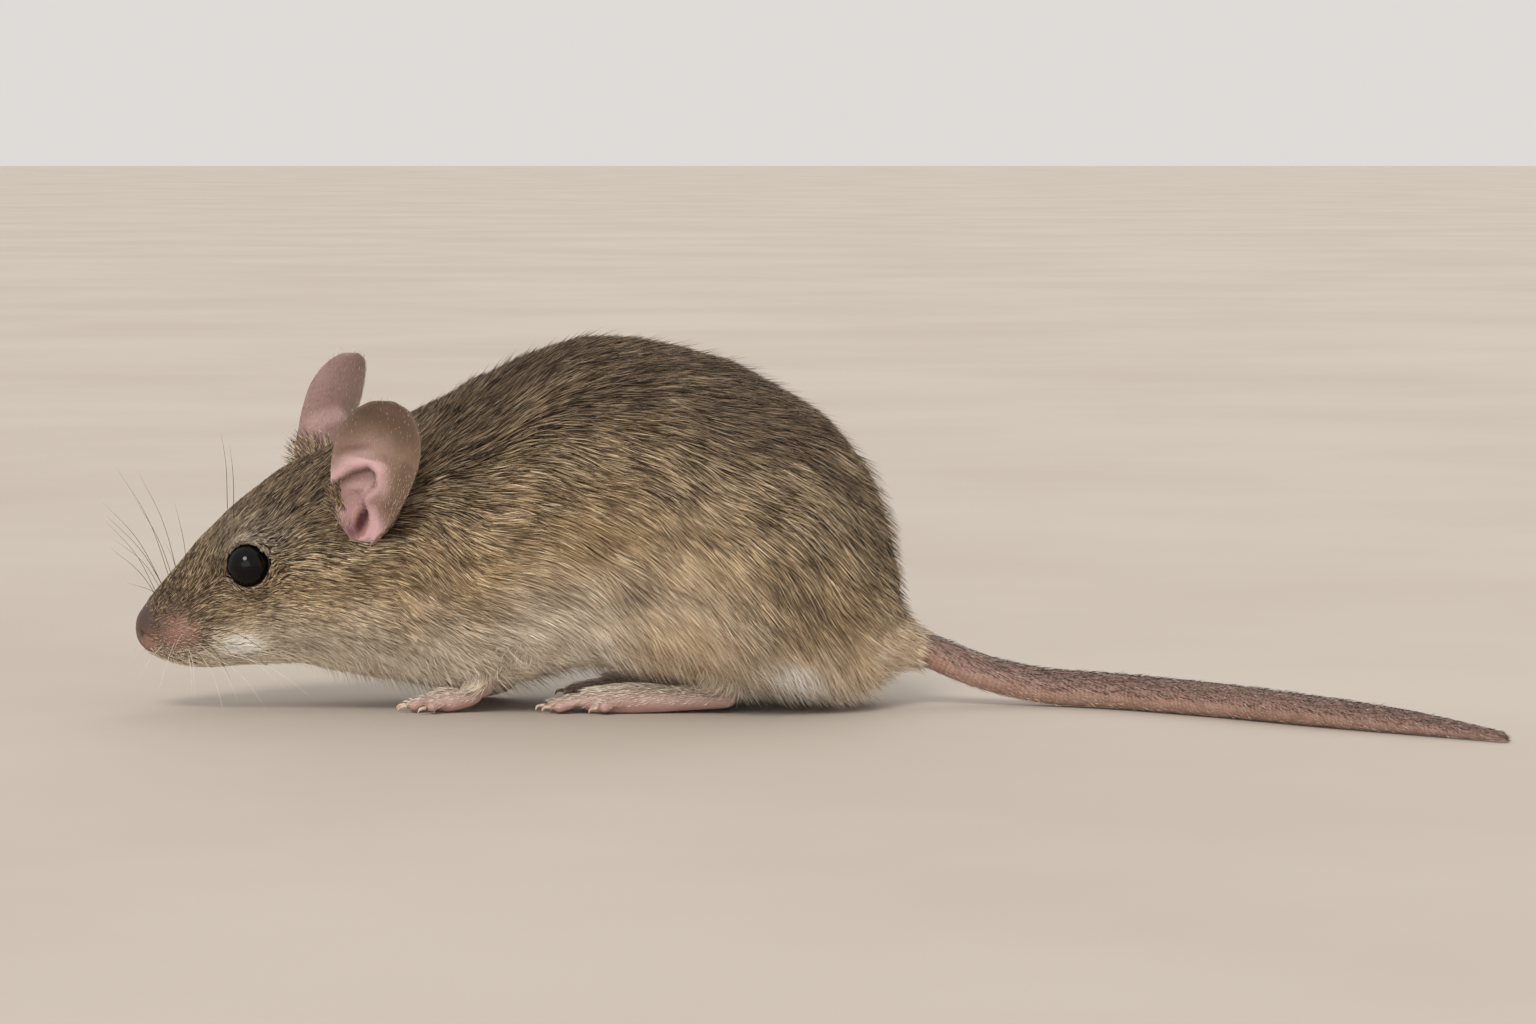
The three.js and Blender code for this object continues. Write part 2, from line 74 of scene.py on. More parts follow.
# swellings of the flank: x, z, reach x, reach z, amount
SWELLINGS = [
    (-51.8, 7.0, 1.8, 1.9, 0.55), (-48.3, 11.6, 2.0, 2.2, -0.4), (-41.2, 8.6, 3.6, 3.6, 0.7),
    (-31.5, 10.5, 3.0, 6.5, -0.7), (-24.5, 11.5, 4.2, 6.0, 0.8), (-16.5, 8.0, 3.0, 5.5, -0.8),
    (-3.5, 11.0, 7.5, 7.5, 1.3),
]
HEAD_TURN, HEAD_ROLL = math.radians(12), math.radians(5)
TURN_PIVOT = np.array([-31.0, 0.0, 14.0])
NECK_BACK, NECK_FRONT = 27, 38  # ahead of x = 0: the head's turn sets in between these
NOSE_ROUNDING = 0.6             # in spans of the stations

EYE = np.array([-46.0, 4.75, 13.2])
EYE_AXIS = np.array([-0.22, 1.0, 0.2]) / np.linalg.norm([-0.22, 1.0, 0.2])
EYE_RADIUS, LID_RADIUS = 1.92, 1.86
EYE_FRONT_CORNER = math.radians(207)
LID_SLOPE, SOCKET_FLOOR = 1.1, -1.5
RIM_RADIUS = 0.12  # of the rim round the opening between the lids, half its thickness
LID_SNAP = 0.13  # the skin this near to the lids' edge is drawn to it

EAR_HEIGHT = 12.6
# height, half width, half angle of the roll in degrees
EAR_STATIONS = np.array([
    [0, 0.9, 125], [1.4, 1.8, 115], [3.0, 2.85, 88], [5.0, 3.5, 64], [7.2, 3.95, 50], [9.2, 3.95, 43],
    [10.8, 3.35, 38], [11.8, 2.5, 34], [12.4, 1.4, 30], [12.6, 0.3, 30],
], float)
EARS = [
    {"name": "ear_left", "side": -1, "hinge": (-34.6, -7.8, 14.7), "rise": (0.18, -0.24, 1),
     "open": (-0.31, -0.95, 0.05)},
    {"name": "ear_right", "side": 1, "hinge": (-39.4, 7.7, 18.1), "rise": (0.15, 0.14, 1),
     "open": (-0.86, 0.51, 0.08)},
]

# line under the tail, and its radii at even shares of its length
TAIL_LINE = np.array([
    [10.8, 0, 4.6], [14.0, 0, 3.2], [18.5, -0.1, 1.35], [24.0, -0.7, 0.1], [30.0, -3.2, -0.12],
    [38.0, -9.2, -0.12], [47.0, -17.4, -0.12], [54.5, -23.6, -0.12], [60.8, -28.8, -0.12],
])
TAIL_RADII = np.array([1.5, 1.55, 1.58, 1.52, 1.43, 1.28, 0.98, 0.45]) - 0.06

THIN = 1.0
HAIRS_PER_PIECE, HAIRS_PER_CLUMP = 32000, 10

# ---- curves and frames


def norm(v):
    return v / np.maximum(np.linalg.norm(v, axis=-1, keepdims=True), 1e-12)


def smooth(x, lo, hi):
    k = np.clip((np.asarray(x, float) - lo) / (hi - lo), 0, 1)
    return k * k * (3 - 2 * k)


def bump(d2, width):
    return np.exp(-d2 / (width * width))


def spot(x, z, cx, cz, rx, rz):
    """A soft round spot: 1 at its middle cx, cz and fading over its reach rx, rz."""
    return np.exp(-((x - cx) / rx) ** 2 - ((z - cz) / rz) ** 2)


def circle(count):
    return 2 * np.pi * np.arange(count) / count


def spline(points, t):
    """Centripetal Catmull-Rom through the points, at shares t of the number of spans."""
    pts = np.asarray(points, float)
    pts = np.vstack([2 * pts[0] - pts[1], pts, 2 * pts[-1] - pts[-2]])
    p = np.clip(t, 0, 1) * (len(pts) - 3)
    i = np.minimum(p.astype(int), len(pts) - 4)
    w = (p - i)[..., None]
    p0, p1, p2, p3 = (pts[i + k] for k in range(4))
    d0, d1, d2 = (np.sqrt(np.linalg.norm(b - a, axis=-1, keepdims=True))
                  for a, b in ((p0, p1), (p1, p2), (p2, p3)))
    m1 = ((p1 - p0) / d0 - (p2 - p0) / (d0 + d1) + (p2 - p1) / d1) * d1
    m2 = ((p2 - p1) / d1 - (p3 - p1) / (d1 + d2) + (p3 - p2) / d2) * d1
    return p1 + m1 * w + (-3 * p1 + 3 * p2 - 2 * m1 - m2) * w ** 2 + (2 * p1 - 2 * p2 + m1 + m2) * w ** 3


def spline_values(values, t):
    """A single value led smoothly through the given ones."""
    return spline(np.column_stack([np.arange(len(values)), values, values]), t)[:, 1]


def evenly(points, shares):
    """Points on the spline at shares of its length, and the length."""
    t = np.linspace(0, 1, 600)
    run = np.concatenate([[0], np.cumsum(np.linalg.norm(np.diff(spline(points, t), axis=0), axis=1))])
    return spline(points, np.interp(np.asarray(shares) * run[-1], run, t)), run[-1]


def level_frame(line):
    """Directions ahead along a line, level to its side and over it."""
    ahead = norm(np.gradient(line, axis=0))
    side = norm(np.stack([-ahead[:, 1], ahead[:, 0], 0 * ahead[:, 0]], -1))
    return ahead, side, np.cross(ahead, side)


def rings_round(line, radius, side, over, count, wide=1.0, tall=1.0):
    """Rings of points round a line, with a radius at each of its points."""
    across, rise = wide * np.cos(circle(count))[:, None], tall * np.sin(circle(count))[:, None]
    return line[:, None] + radius[:, None, None] * (across * side[:, None] + rise * over[:, None])


def polyline_distance(x, z, line):
    """Distance from a broken line in a plane."""
    best = np.full(np.shape(x), 1e9)
    for (x0, z0), (x1, z1) in zip(line, line[1:]):
        k = np.clip(((x - x0) * (x1 - x0) + (z - z0) * (z1 - z0)) / ((x1 - x0) ** 2 + (z1 - z0) ** 2), 0, 1)
        best = np.minimum(best, np.hypot(x - x0 - k * (x1 - x0), z - z0 - k * (z1 - z0)))
    return best


def near_line(x, z, line, width):
    """1 on a broken line, fading away from it."""
    return bump(polyline_distance(x, z, line) ** 2, width)


def turned(v, roll, turn):
    """v rolled about X and then turned about Z."""
    x, y, z = v[..., 0], v[..., 1], v[..., 2]
    y, z = y * np.cos(roll) - z * np.sin(roll), y * np.sin(roll) + z * np.cos(roll)
    return np.stack([x * np.cos(turn) - y * np.sin(turn), x * np.sin(turn) + y * np.cos(turn), z], -1)


def posed(p):
    """Points of the straight head turned and rolled into the pose."""
    p = np.asarray(p, float)
    share = smooth(-p[..., 0], NECK_BACK, NECK_FRONT)
    return turned(p - TURN_PIVOT, HEAD_ROLL * share, HEAD_TURN * share) + TURN_PIVOT


def straightened(p):
    """The opposite of posed."""
    q = np.array(p, float)
    for _ in range(12):
        q += p - posed(q)
    return q


def on_right(p):
    """Straight points with those of the left side mirrored to the right."""
    return np.stack([p[..., 0], np.abs(p[..., 1]), p[..., 2]], -1)


def mirrored(v, y):
    """v mirrored to the left side where y is negative."""
    return v * np.where(y[..., None] < 0, (1, -1, 1), 1)


_eye_lo, _eye_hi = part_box("eye_left")
SHIFT = np.array((_eye_lo + _eye_hi) / 2) * 1000 - posed(EYE * (1, -1, 1))


def to_row(p):
    return (np.asarray(p, float) + SHIFT) * 0.001


# ---- the body's surface

SPANS = len(STATIONS) - 1
# the grid's rows are close together from the nose to this span
FINE_TO, FINE_ROWS, COARSE_ROWS, SIDES = 7.2, 212, 64, 184
ROWS = np.append(np.linspace(0, FINE_TO, FINE_ROWS)[:-1], np.linspace(FINE_TO, SPANS, COARSE_ROWS)) / SPANS


def body_grid():
    """The outside of the coat as rows by sides, straight, with each point's share of the height."""
    top = spline(STATIONS[:, [0, 1, 1]] * (1, 0, 1), ROWS)
    low = spline(STATIONS[:, [2, 3, 3]] * (1, 0, 1), ROWS)
    width = spline(np.column_stack([np.arange(len(STATIONS)), STATIONS[:, 4:]]), ROWS)
    across, rise = np.cos(circle(SIDES)), np.sin(circle(SIDES))
    power = np.where(rise > 0, 2 / TOP_ROUNDNESS, 2 / BELLY_ROUNDNESS)
    middle = low + (top - low) * width[:, 2:3]
    end = np.where((rise > 0)[None, :, None], top[:, None], low[:, None])
    p = middle[:, None] + (end - middle[:, None]) * (np.abs(rise) ** power)[None, :, None]
    swelling = sum(amount * spot(p[..., 0], p[..., 2], *place) for *place, amount in SWELLINGS)
    p[..., 1] = np.sign(across) * np.abs(across) ** power * (width[:, 1:2] + swelling)
    return p, (p[..., 2] - low[:, None, 2]) / (top[:, None, 2] - low[:, None, 2])


def grid_normals(p):
    """Outward normals of a grid closed round its sides, and its derivatives along rows and sides."""
    dr = np.gradient(p, axis=0)
    ds = (np.roll(p, -1, 1) - np.roll(p, 1, 1)) / 2
    n = norm(np.cross(dr, ds))
    outwards = (n * (p - p.mean(1, keepdims=True))).sum(-1).mean() > 0
    return (n if outwards else -n), dr, ds


P, HEIGHT = body_grid()
N, DR, DS = grid_normals(P)
X, Y, Z = P[..., 0], P[..., 1], P[..., 2]

# depth of the coat by x, thinner under the belly
DEPTH = np.interp(X, [-55.4, -54.2, -52, -49, -45, -41, -35, -27, -16, 4, 9, 11, 12.6, 13.4],
                  [0.07, 0.1, 0.22, 0.45, 0.7, 1.1, 1.6, 2.2, 2.5, 2.6, 2.2, 1.5, 0.7, 0.25])
DEPTH *= 1 - 0.35 * (1 - smooth(HEIGHT, 0.02, 0.3)) * smooth(X, -40, -20)

EYE_BACK = norm(np.array([1.0, 0, 0]) - EYE_AXIS[0] * EYE_AXIS)
EYE_UP = np.cross(EYE_BACK, EYE_AXIS)


def near_eye(p):
    """Distance from the eye's axis, height along it and angle round it, for straight points."""
    q = on_right(p) - EYE
    h = q @ EYE_AXIS
    flat = q - h[..., None] * EYE_AXIS
    return np.linalg.norm(flat, axis=-1), h, np.arctan2(flat @ EYE_UP, flat @ EYE_BACK)


def round_eye(phi):
    """Directions out from the eye's axis at angles round it."""
    return np.cos(phi)[..., None] * EYE_BACK + np.sin(phi)[..., None] * EYE_UP


EYE_D, EYE_H, _ = near_eye(P)


def lid_opening(phi):
    """Radius of the opening between the lids: round, with a small point at its front corner."""
    turn = np.angle(np.exp(1j * (phi - EYE_FRONT_CORNER)))
    return LID_RADIUS * (1 + 0.2 * bump(turn ** 2, 0.26))


def lid_height(rim, above=0.05):
    """Height along the eye's axis of a lid at this radius, lying a little above the eyeball."""
    return np.sqrt(np.maximum(EYE_RADIUS ** 2 - rim ** 2, 0.05)) + above


MOUTH_LINE = [(-54.2, 4.9), (-53.0, 4.75), (-51.6, 4.9), (-50.0, 5.3), (-48.6, 6.0), (-47.9, 6.7)]
NOSTRIL_SLIT = [(-54.75, 6.8), (-54.1, 6.5), (-53.9, 6.1)]
PAD_FOLD = [(-49.2, 9.6), (-48.7, 8.4), (-48.4, 7.2)]
NOSTRIL = np.array([-54.75, 0.95, 6.75])
FOLLICLES = [(-52.4 + 0.95 * c + 0.1 * r, 9.0 - 0.95 * r + 0.06 * c) for r in range(5) for c in range(5)]


def at_nostril(p, reach):
    return np.exp(-(((on_right(p) - NOSTRIL) / reach) ** 2).sum(-1))


def skin_relief(p, dist, h):
    """How far the bare skin of the head stands out from its plain form, along the normal."""
    x, y, z = p[..., 0], np.abs(p[..., 1]), p[..., 2]
    out = -0.2 * near_line(x, z, MOUTH_LINE, 0.12) * (y > 0.3)
    out -= 0.42 * at_nostril(p, (0.42, 0.3, 0.5))
    out -= 0.14 * near_line(x, z, NOSTRIL_SLIT, 0.14) * (y > 0.5)
    out += 0.1 * bump((x + 54.6) ** 2 + (z - 7.9) ** 2, 0.7) * smooth(y, 0.2, 0.9)
    out -= 0.12 * bump((x + 53.7) ** 2, 0.25) * smooth(z, 8.2, 6.8)
    out -= 0.16 * bump(y ** 2, 0.13) * smooth(-x, 54.0, 54.9) * (1 - smooth(z, 7.0, 7.8))
    for fx, fz in FOLLICLES:
        out += 0.07 * bump((x - fx) ** 2 + (z - fz) ** 2, 0.24) * (x > -54)
    out -= 0.18 * near_line(x, z, PAD_FOLD, 0.4)
    return out + 0.08 * bump((dist - 2.35) ** 2, 0.5) * (h > -1)


def skin_grid():
    """The skin under the coat of head and trunk, with sockets for the eyes."""
    q = P - N * DEPTH[..., None]
    dist, h, _ = near_eye(q)
    q = q + N * skin_relief(q, dist, h)[..., None]
    dist, h, phi = near_eye(q)
    rim = lid_opening(phi)
    near = h > SOCKET_FLOOR
    snapped = np.where(np.abs(dist - rim) < LID_SNAP, rim, dist)
    blend = smooth(snapped, rim, rim + LID_SLOPE)
    target = np.where(snapped < rim - 0.01, -0.5, lid_height(rim) * (1 - blend) + h * blend)
    target = np.where(near & (snapped < rim + LID_SLOPE), target, h)
    move = EYE_AXIS * (target - h)[..., None] + round_eye(phi) * np.where(near, snapped - dist, 0)[..., None]
    q = q + mirrored(move, q[..., 1])
    to_tip = np.clip(1 - ROWS * SPANS / NOSE_ROUNDING, 0, 0.97)
    middle = q.mean(1, keepdims=True)
    return middle + (q - middle) * np.sqrt(1 - to_tip ** 2)[:, None, None]


# ---- mesh making


def new_object(name, verts, faces):
    mesh = bpy.data.meshes.new(name)
    mesh.from_pydata([tuple(v) for v in verts], [], faces)
    mesh.update()
    mesh.shade_smooth()
    return placed(name, mesh)


def placed(name, data):
    obj = bpy.data.objects.new(name, data)
    bpy.context.scene.collection.objects.link(obj)
    return obj


def dressed(obj, material):
    obj.data.materials.clear()
    obj.data.materials.append(material)
    return obj


def lofted(name, rings):
    """A closed mesh over rings of points, facing outwards."""
    rings = np.asarray(rings)
    r, s = rings.shape[:2]
    idx = np.arange(r * s).reshape(r, s)
    nxt = np.roll(idx, -1, 1)
    quads = np.stack([idx[:-1], nxt[:-1], nxt[1:], idx[1:]], -1).reshape(-1, 4)
    first, last = np.full(s, r * s), np.full(s, r * s + 1)
    fans = np.concatenate([np.stack([first, nxt[0], idx[0]], -1), np.stack([last, idx[-1], nxt[-1]], -1)])
    verts = np.vstack([rings.reshape(-1, 3), rings[0].mean(0), rings[-1].mean(0)])
    obj = new_object(name, verts, quads.tolist() + fans.tolist())
    a, b, c = verts[np.concatenate([quads[:, [0, 1, 2]], quads[:, [0, 2, 3]], fans])].transpose(1, 0, 2)
    if (a * np.cross(b, c)).sum() < 0:
        obj.data.flip_normals()
    return obj


def tube(points, radii, sides=20, flat=1.0, rows=26):
    """A round limb along a smooth line, with a radius at each of its points and rounded ends."""
    _, length = evenly(points, [0, 1])
    r0, r1 = radii[0] / length, radii[-1] / length
    ends = 1 - np.cos(np.linspace(0.12, np.pi / 2, 6))
    shares = np.concatenate([r0 * ends, np.linspace(r0, 1 - r1, rows)[1:-1], 1 - r1 * ends[::-1]])
    line, _ = evenly(points, shares)
    _, side, over = level_frame(line)
    cap = np.minimum(np.minimum(shares / r0, (1 - shares) / r1), 1)
    radius = spline_values(radii, shares) * np.sqrt(np.maximum(1 - (1 - cap) ** 2, 0.01))
    return lofted("limb", rings_round(line, radius, side, over, sides, tall=flat))


def settle(obj):
    """Applies obj's modifiers."""
    mesh = bpy.data.meshes.new_from_object(obj.evaluated_get(bpy.context.evaluated_depsgraph_get()))
    old, obj.data = obj.data, mesh
    obj.modifiers.clear()
    bpy.data.meshes.remove(old)
    return obj


def join(name, objects):
    """One object from several, with all their shells."""
    first = objects[0]
    with bpy.context.temp_override(active_object=first, selected_editable_objects=objects):
        bpy.ops.object.join()
    first.name = name
    return first


def melted(obj, voxel=0.125, rounds=4, ratio=0.24):
    """The shells of obj melted into one skin, smoothed and thinned out."""
    mod = obj.modifiers.new("melt", "REMESH")
    mod.mode, mod.voxel_size, mod.use_smooth_shade = "VOXEL", voxel, True
    mod = obj.modifiers.new("soften", "SMOOTH")
    mod.factor, mod.iterations = 0.5, rounds
    obj.modifiers.new("thin", "DECIMATE").ratio = ratio
    return settle(obj)


def united(base, others):
    """base with the others joined to it as one solid, each keeping its material."""
    for other in others:
        mod = base.modifiers.new("unite", "BOOLEAN")
        mod.operation, mod.solver, mod.object, mod.material_mode = "UNION", "MANIFOLD", other, "TRANSFER"
        settle(base)
        bpy.data.objects.remove(other)
    return base


def vectors(collection, key):
    """The vectors of a mesh's vertices, normals or the like as an array."""
    values = np.empty(len(collection) * 3, np.float32)
    collection.foreach_get(key, values)
    return values.reshape(-1, 3)


def coordinates(mesh):
    return vectors(mesh.vertices, "co").astype(float)


def set_coordinates(mesh, co):
    mesh.vertices.foreach_set("co", np.asarray(co, float).ravel())
    mesh.update()


def float_attribute(mesh, name, values):
    data = mesh.attributes.new(name, "FLOAT", "POINT").data
    data.foreach_set("value", np.asarray(values, np.float32).ravel())


# ---- materials


def rgb(r, g, b):
    """Screen colour, 0 to 255, as the renderer's linear colour."""
    c = np.array([r, g, b]) / 255
    c = np.where(c < 0.04045, c / 12.92, ((c + 0.055) / 1.055) ** 2.4)
    return (*[float(v) for v in c], 1.0)


class Nodes:
    """A short way to write a node tree."""

    def __init__(self, name):
        self.material = bpy.data.materials.new(name)
        self.material.use_nodes = True
        self.tree = self.material.node_tree
        self.shader = self.tree.nodes["Principled BSDF"]
        self.here = self.node("ShaderNodeTexCoord", {}, "Object")

    def put(self, socket, value):
        if isinstance(value, bpy.types.NodeSocket):
            self.tree.links.new(value, socket)
        elif isinstance(value, tuple) and len(value) == 3 and socket.type == "RGBA":
            socket.default_value = (*value, 1.0)
        else:
            socket.default_value = value

    def node(self, kind, inputs, out=0, **settings):
        """A node's output. inputs gives values or sockets by the name or number of the input."""
        n = self.tree.nodes.new(kind)
        for key, value in settings.items():
            setattr(n, key, value)
        for key, value in inputs.items():
            self.put(n.inputs[key], value)
        return n.outputs[out]

    def attribute(self, name):
        return self.node("ShaderNodeAttribute", {}, "Fac", attribute_name=name)

    def math(self, kind, a, b):
        return self.node("ShaderNodeMath", {0: a, 1: b}, operation=kind)

    def span(self, value, lo, hi, to_lo=0.0, to_hi=1.0):
        """value taken smoothly from lo..hi to to_lo..to_hi."""
        inputs = {0: value, 1: lo, 2: hi, 3: to_lo, 4: to_hi}
        return self.node("ShaderNodeMapRange", inputs, interpolation_type="SMOOTHSTEP")

    def mix(self, factor, a, b, how="MIX"):
        return self.node("ShaderNodeMix", {0: factor, 6: a, 7: b}, 2, data_type="RGBA", blend_type=how)

    def tinted(self, colour, by):
        return self.mix(1.0, colour, by, "MULTIPLY")

    def ramp(self, value, stops):
        n = self.tree.nodes.new("ShaderNodeValToRGB")
        while len(n.color_ramp.elements) < len(stops):
            n.color_ramp.elements.new(0.5)
        for element, (at, colour) in zip(n.color_ramp.elements, stops):
            element.position, element.color = at, rgb(*colour)
        self.put(n.inputs[0], value)
        return n.outputs[0]

    def noise(self, scale, detail=3.0):
        inputs = {"Vector": self.here, "Scale": scale, "Detail": detail, "Roughness": 0.55}
        return self.node("ShaderNodeTexNoise", inputs, "Fac")

    def cells(self, scale, feature="F1"):
        inputs = {"Vector": self.here, "Scale": scale}
        return self.node("ShaderNodeTexVoronoi", inputs, "Distance", feature=feature)

    def cloudy(self, a, b, scale, detail, lo, hi):
        """Colour a with patches of colour b, where the noise goes from lo to hi."""
        return self.mix(self.span(self.noise(scale, detail), lo, hi), a, b)

    def uneven(self, scale, detail, lo, hi):
        """A value that wanders from lo to hi."""
        return self.span(self.noise(scale, detail), 0.3, 0.7, lo, hi)

    def bump(self, height, strength, distance):
        return self.node("ShaderNodeBump", {"Height": height, "Strength": strength, "Distance": distance})

    def finish(self, **values):
        """The material, with values for the shader's inputs, named with _ for each blank."""
        for key, value in values.items():
            self.put(self.shader.inputs[key.replace("_", " ")], value)
        return self.material


COAT_TONES = [(0.0, (46, 35, 28)), (0.34, (76, 60, 46)), (0.5, (152, 128, 98)), (0.76, (214, 190, 152)),
              (1.0, (244, 227, 196))]
PALE_TONES = [(0.0, (178, 156, 128)), (0.3, (230, 214, 190)), (1.0, (252, 246, 234))]


def coat_material(name):
    """Agouti hair: a grey root, a band of one of the tones and often a dark tip, by hair and by region."""
    m = Nodes(name)
    along, chance, warm, pale = (m.attribute(key) for key in ("along", "chance", "warm", "pale"))
    hair = m.ramp(chance, COAT_TONES)
    hair = m.mix(m.math("MULTIPLY", warm, 0.4), hair, rgb(206, 174, 128))
    hair = m.mix(m.attribute("dark"), hair, m.tinted(hair, (0.39, 0.36, 0.36)))
    hair = m.mix(pale, hair, m.ramp(chance, PALE_TONES))
    hair = m.mix(m.math("MULTIPLY", m.math("MULTIPLY", warm, pale), 0.6), hair, rgb(240, 209, 164))
    hair = m.mix(m.span(pale, 1.0, 1.5), hair, rgb(250, 245, 236))
    patches = m.cloudy((0.75, 0.73, 0.71), (1.18, 1.17, 1.15), 260, 2, 0.35, 0.65)
    hair = m.mix(0.25, hair, m.tinted(hair, patches))
    tip = m.math("MULTIPLY", m.span(along, 0.72, 1.0), m.span(chance, 0.5, 0.2, 0.0, 0.75))
    hair = m.mix(tip, hair, m.tinted(hair, (0.35, 0.31, 0.28)))
    hair = m.mix(m.span(along, 0.5, 0.08), hair, rgb(108, 95, 84))
    wave = m.noise(9000, 2)
    return m.finish(
        Base_Color=hair, Roughness=m.span(wave, 0.3, 0.7, 0.5, 0.68), Normal=m.bump(wave, 0.25, 0.00003),
        Specular_IOR_Level=0.32, Sheen_Weight=0.08, Sheen_Roughness=0.5)


FLESH_GLOW = (0.0012, 0.0005, 0.0003)  # how far red, green and blue light spread under thin skin, in metres


def skin_material(name, base, pink, dark, rough):
    """Thin furred skin: mottled, finely wrinkled, pink, dark or wine red where the attributes say; the dark
    and the wine red hold painted shade in creases and hollows.
    """
    m = Nodes(name)
    colour = m.cloudy(rgb(*base), m.tinted(rgb(*base), (0.8, 0.76, 0.74)), 700, 4, 0.3, 0.7)
    # the last tone is the ears' passages: wine red skin, darkened with painted shade inside the hole
    for key, tone in (("pink", pink), ("shade", dark), ("ring", (62, 14, 22))):
        colour = m.mix(m.attribute(key), colour, rgb(*tone))
    fine = m.math("ADD", m.noise(5200, 4), m.math("MULTIPLY", m.cells(3800), 0.6))
    return m.finish(Base_Color=colour, Roughness=m.uneven(2500, 3, *rough), Normal=m.bump(fine, 0.5, 0.00006),
                    Subsurface_Weight=0.15, Subsurface_Radius=FLESH_GLOW, Specular_IOR_Level=0.3)


def tail_material(name):
    """Finely ringed skin, grey-brown above and pink below, with painted shade in the grooves between the
    rings.
    """
    m = Nodes(name)
    colour = m.mix(m.attribute("shade"), rgb(186, 150, 136), rgb(112, 90, 81))
    colour = m.mix(m.span(m.noise(900, 4), 0.35, 0.7, 0.0, 0.5), colour, rgb(140, 104, 94))
    # painted shade in the grooves between the rings
    colour = m.mix(m.math("MULTIPLY", m.attribute("ring"), 0.25), colour, rgb(98, 72, 64))
    scales = m.span(m.cells(2600, "DISTANCE_TO_EDGE"), 0.0, 0.2)
    grain = m.bump(m.math("ADD", scales, m.noise(6000, 2)), 0.5, 0.00005)
    return m.finish(Base_Color=colour, Roughness=m.uneven(3000, 3, 0.4, 0.58), Normal=grain,
                    Subsurface_Weight=0.12, Subsurface_Radius=FLESH_GLOW, Specular_IOR_Level=0.42)


def plain_material(name, a, b, cloud, rough, grain, **more):
    """Tones a and b in cloudy patches, with an uneven gloss and a fine grain.

    cloud, rough: the noise's scale and detail, lowest and highest. grain: its scale, detail, strength, depth.
    """
    m = Nodes(name)
    return m.finish(Base_Color=m.cloudy(rgb(*a), rgb(*b), *cloud), Roughness=m.uneven(*rough),
                    Normal=m.bump(m.noise(*grain[:2]), *grain[2:]), **more)


WHISKER = {"cloud": (1500, 3, 0.3, 0.7), "rough": (6000, 3, 0.3, 0.45), "grain": (9000, 3, 0.2, 0.00001)}
COAT = coat_material("agouti_coat")
BODY_SKIN = skin_material("skin_under_coat", (118, 98, 84), (184, 134, 122), (70, 55, 50), (0.5, 0.7))
EAR_SKIN = skin_material("ear_skin", (126, 102, 83), (204, 167, 166), (84, 65, 53), (0.42, 0.6))
FOOT_SKIN = skin_material("foot_skin", (190, 163, 154), (196, 150, 144), (136, 104, 95), (0.38, 0.55))
LID_SKIN = skin_material("lid_skin", (44, 35, 38), (118, 86, 88), (26, 21, 25), (0.3, 0.45))
TAIL_SKIN = tail_material("tail_skin")
WET_EYE = plain_material("wet_eye", (5, 4, 5), (12, 9, 9), (1100, 3, 0.4, 0.7), (5000, 2, 0.05, 0.1),
                         (900, 2, 0.04, 0.00003), Specular_IOR_Level=0.2)
HORN = plain_material("claw_horn", (222, 200, 178), (188, 160, 140), (2600, 3, 0.35, 0.65),
                      (4000, 3, 0.28, 0.42), (7000, 2, 0.3, 0.00002), Subsurface_Weight=0.2,
                      Subsurface_Radius=(0.0008, 0.0006, 0.0004))
DARK_WHISKER = plain_material("dark_whisker", (52, 43, 38), (84, 72, 62), **WHISKER)
PALE_WHISKER = plain_material("pale_whisker", (206, 192, 176), (232, 222, 208), **WHISKER)

# ---- skin of head and trunk

body_skin = dressed(lofted("body_skin", posed(skin_grid())), BODY_SKIN)

# ---- ears

EAR_LEVELS, EAR_ACROSS, EAR_THICKNESS = 88, 58, 0.34
# edge of the hollow of the ear from its front round the top and down to the passage: across (rearwards), up
HOLLOW_EDGE = [(-4.4, 4.3), (-3.2, 5.1), (-2.2, 6.0), (-1.0, 6.6), (-0.3, 6.2), (0.0, 5.2), (-0.6, 4.4),
               (-1.05, 3.8), (-0.95, 3.1), (-0.55, 2.4), (-0.3, 1.6), (-0.35, 0.8)]
HOLLOW = HOLLOW_EDGE + [(-0.9, 0.4), (-1.5, 1.0), (-2.6, 2.4), (-4.4, 3.4)]
PASSAGE = (-0.85, 1.8)
# ridges and furrows of the inner wall: amount, across, up, reach across, reach up, slope
EAR_FOLDS = [(0.3, -2.7, 6.9, 1.3, 0.5, 0.35), (-0.3, -2.6, 7.7, 1.5, 0.4, 0.3),
             (0.35, -2.0, 4.5, 0.8, 0.45, 0), (-1.45, *PASSAGE, 0.4, 0.85, 0), (0.2, 2.0, 3.4, 1.2, 1.6, 0)]


def ear_frame(ear):
    """Hinge of the ear and its directions up, to the front and to the side."""
    up = norm(np.array(ear["rise"], float))
    front = np.array(ear["open"], float)
    front = norm(front - front @ up * up)
    return np.array(ear["hinge"], float), up, front, np.cross(up, front)


def hollow_depth(s, h):
    """Distance inside the hollow of the ear, less than nothing outside it."""
    inside = np.zeros(np.shape(s), bool)
    for (s0, h0), (s1, h1) in zip(HOLLOW, HOLLOW[1:] + HOLLOW[:1]):
        inside ^= ((h0 > h) != (h1 > h)) & (s < (s1 - s0) * (h - h0) / (h1 - h0 + 1e-9) + s0)
    return np.where(inside, 1, -1) * polyline_distance(s, h, HOLLOW_EDGE)


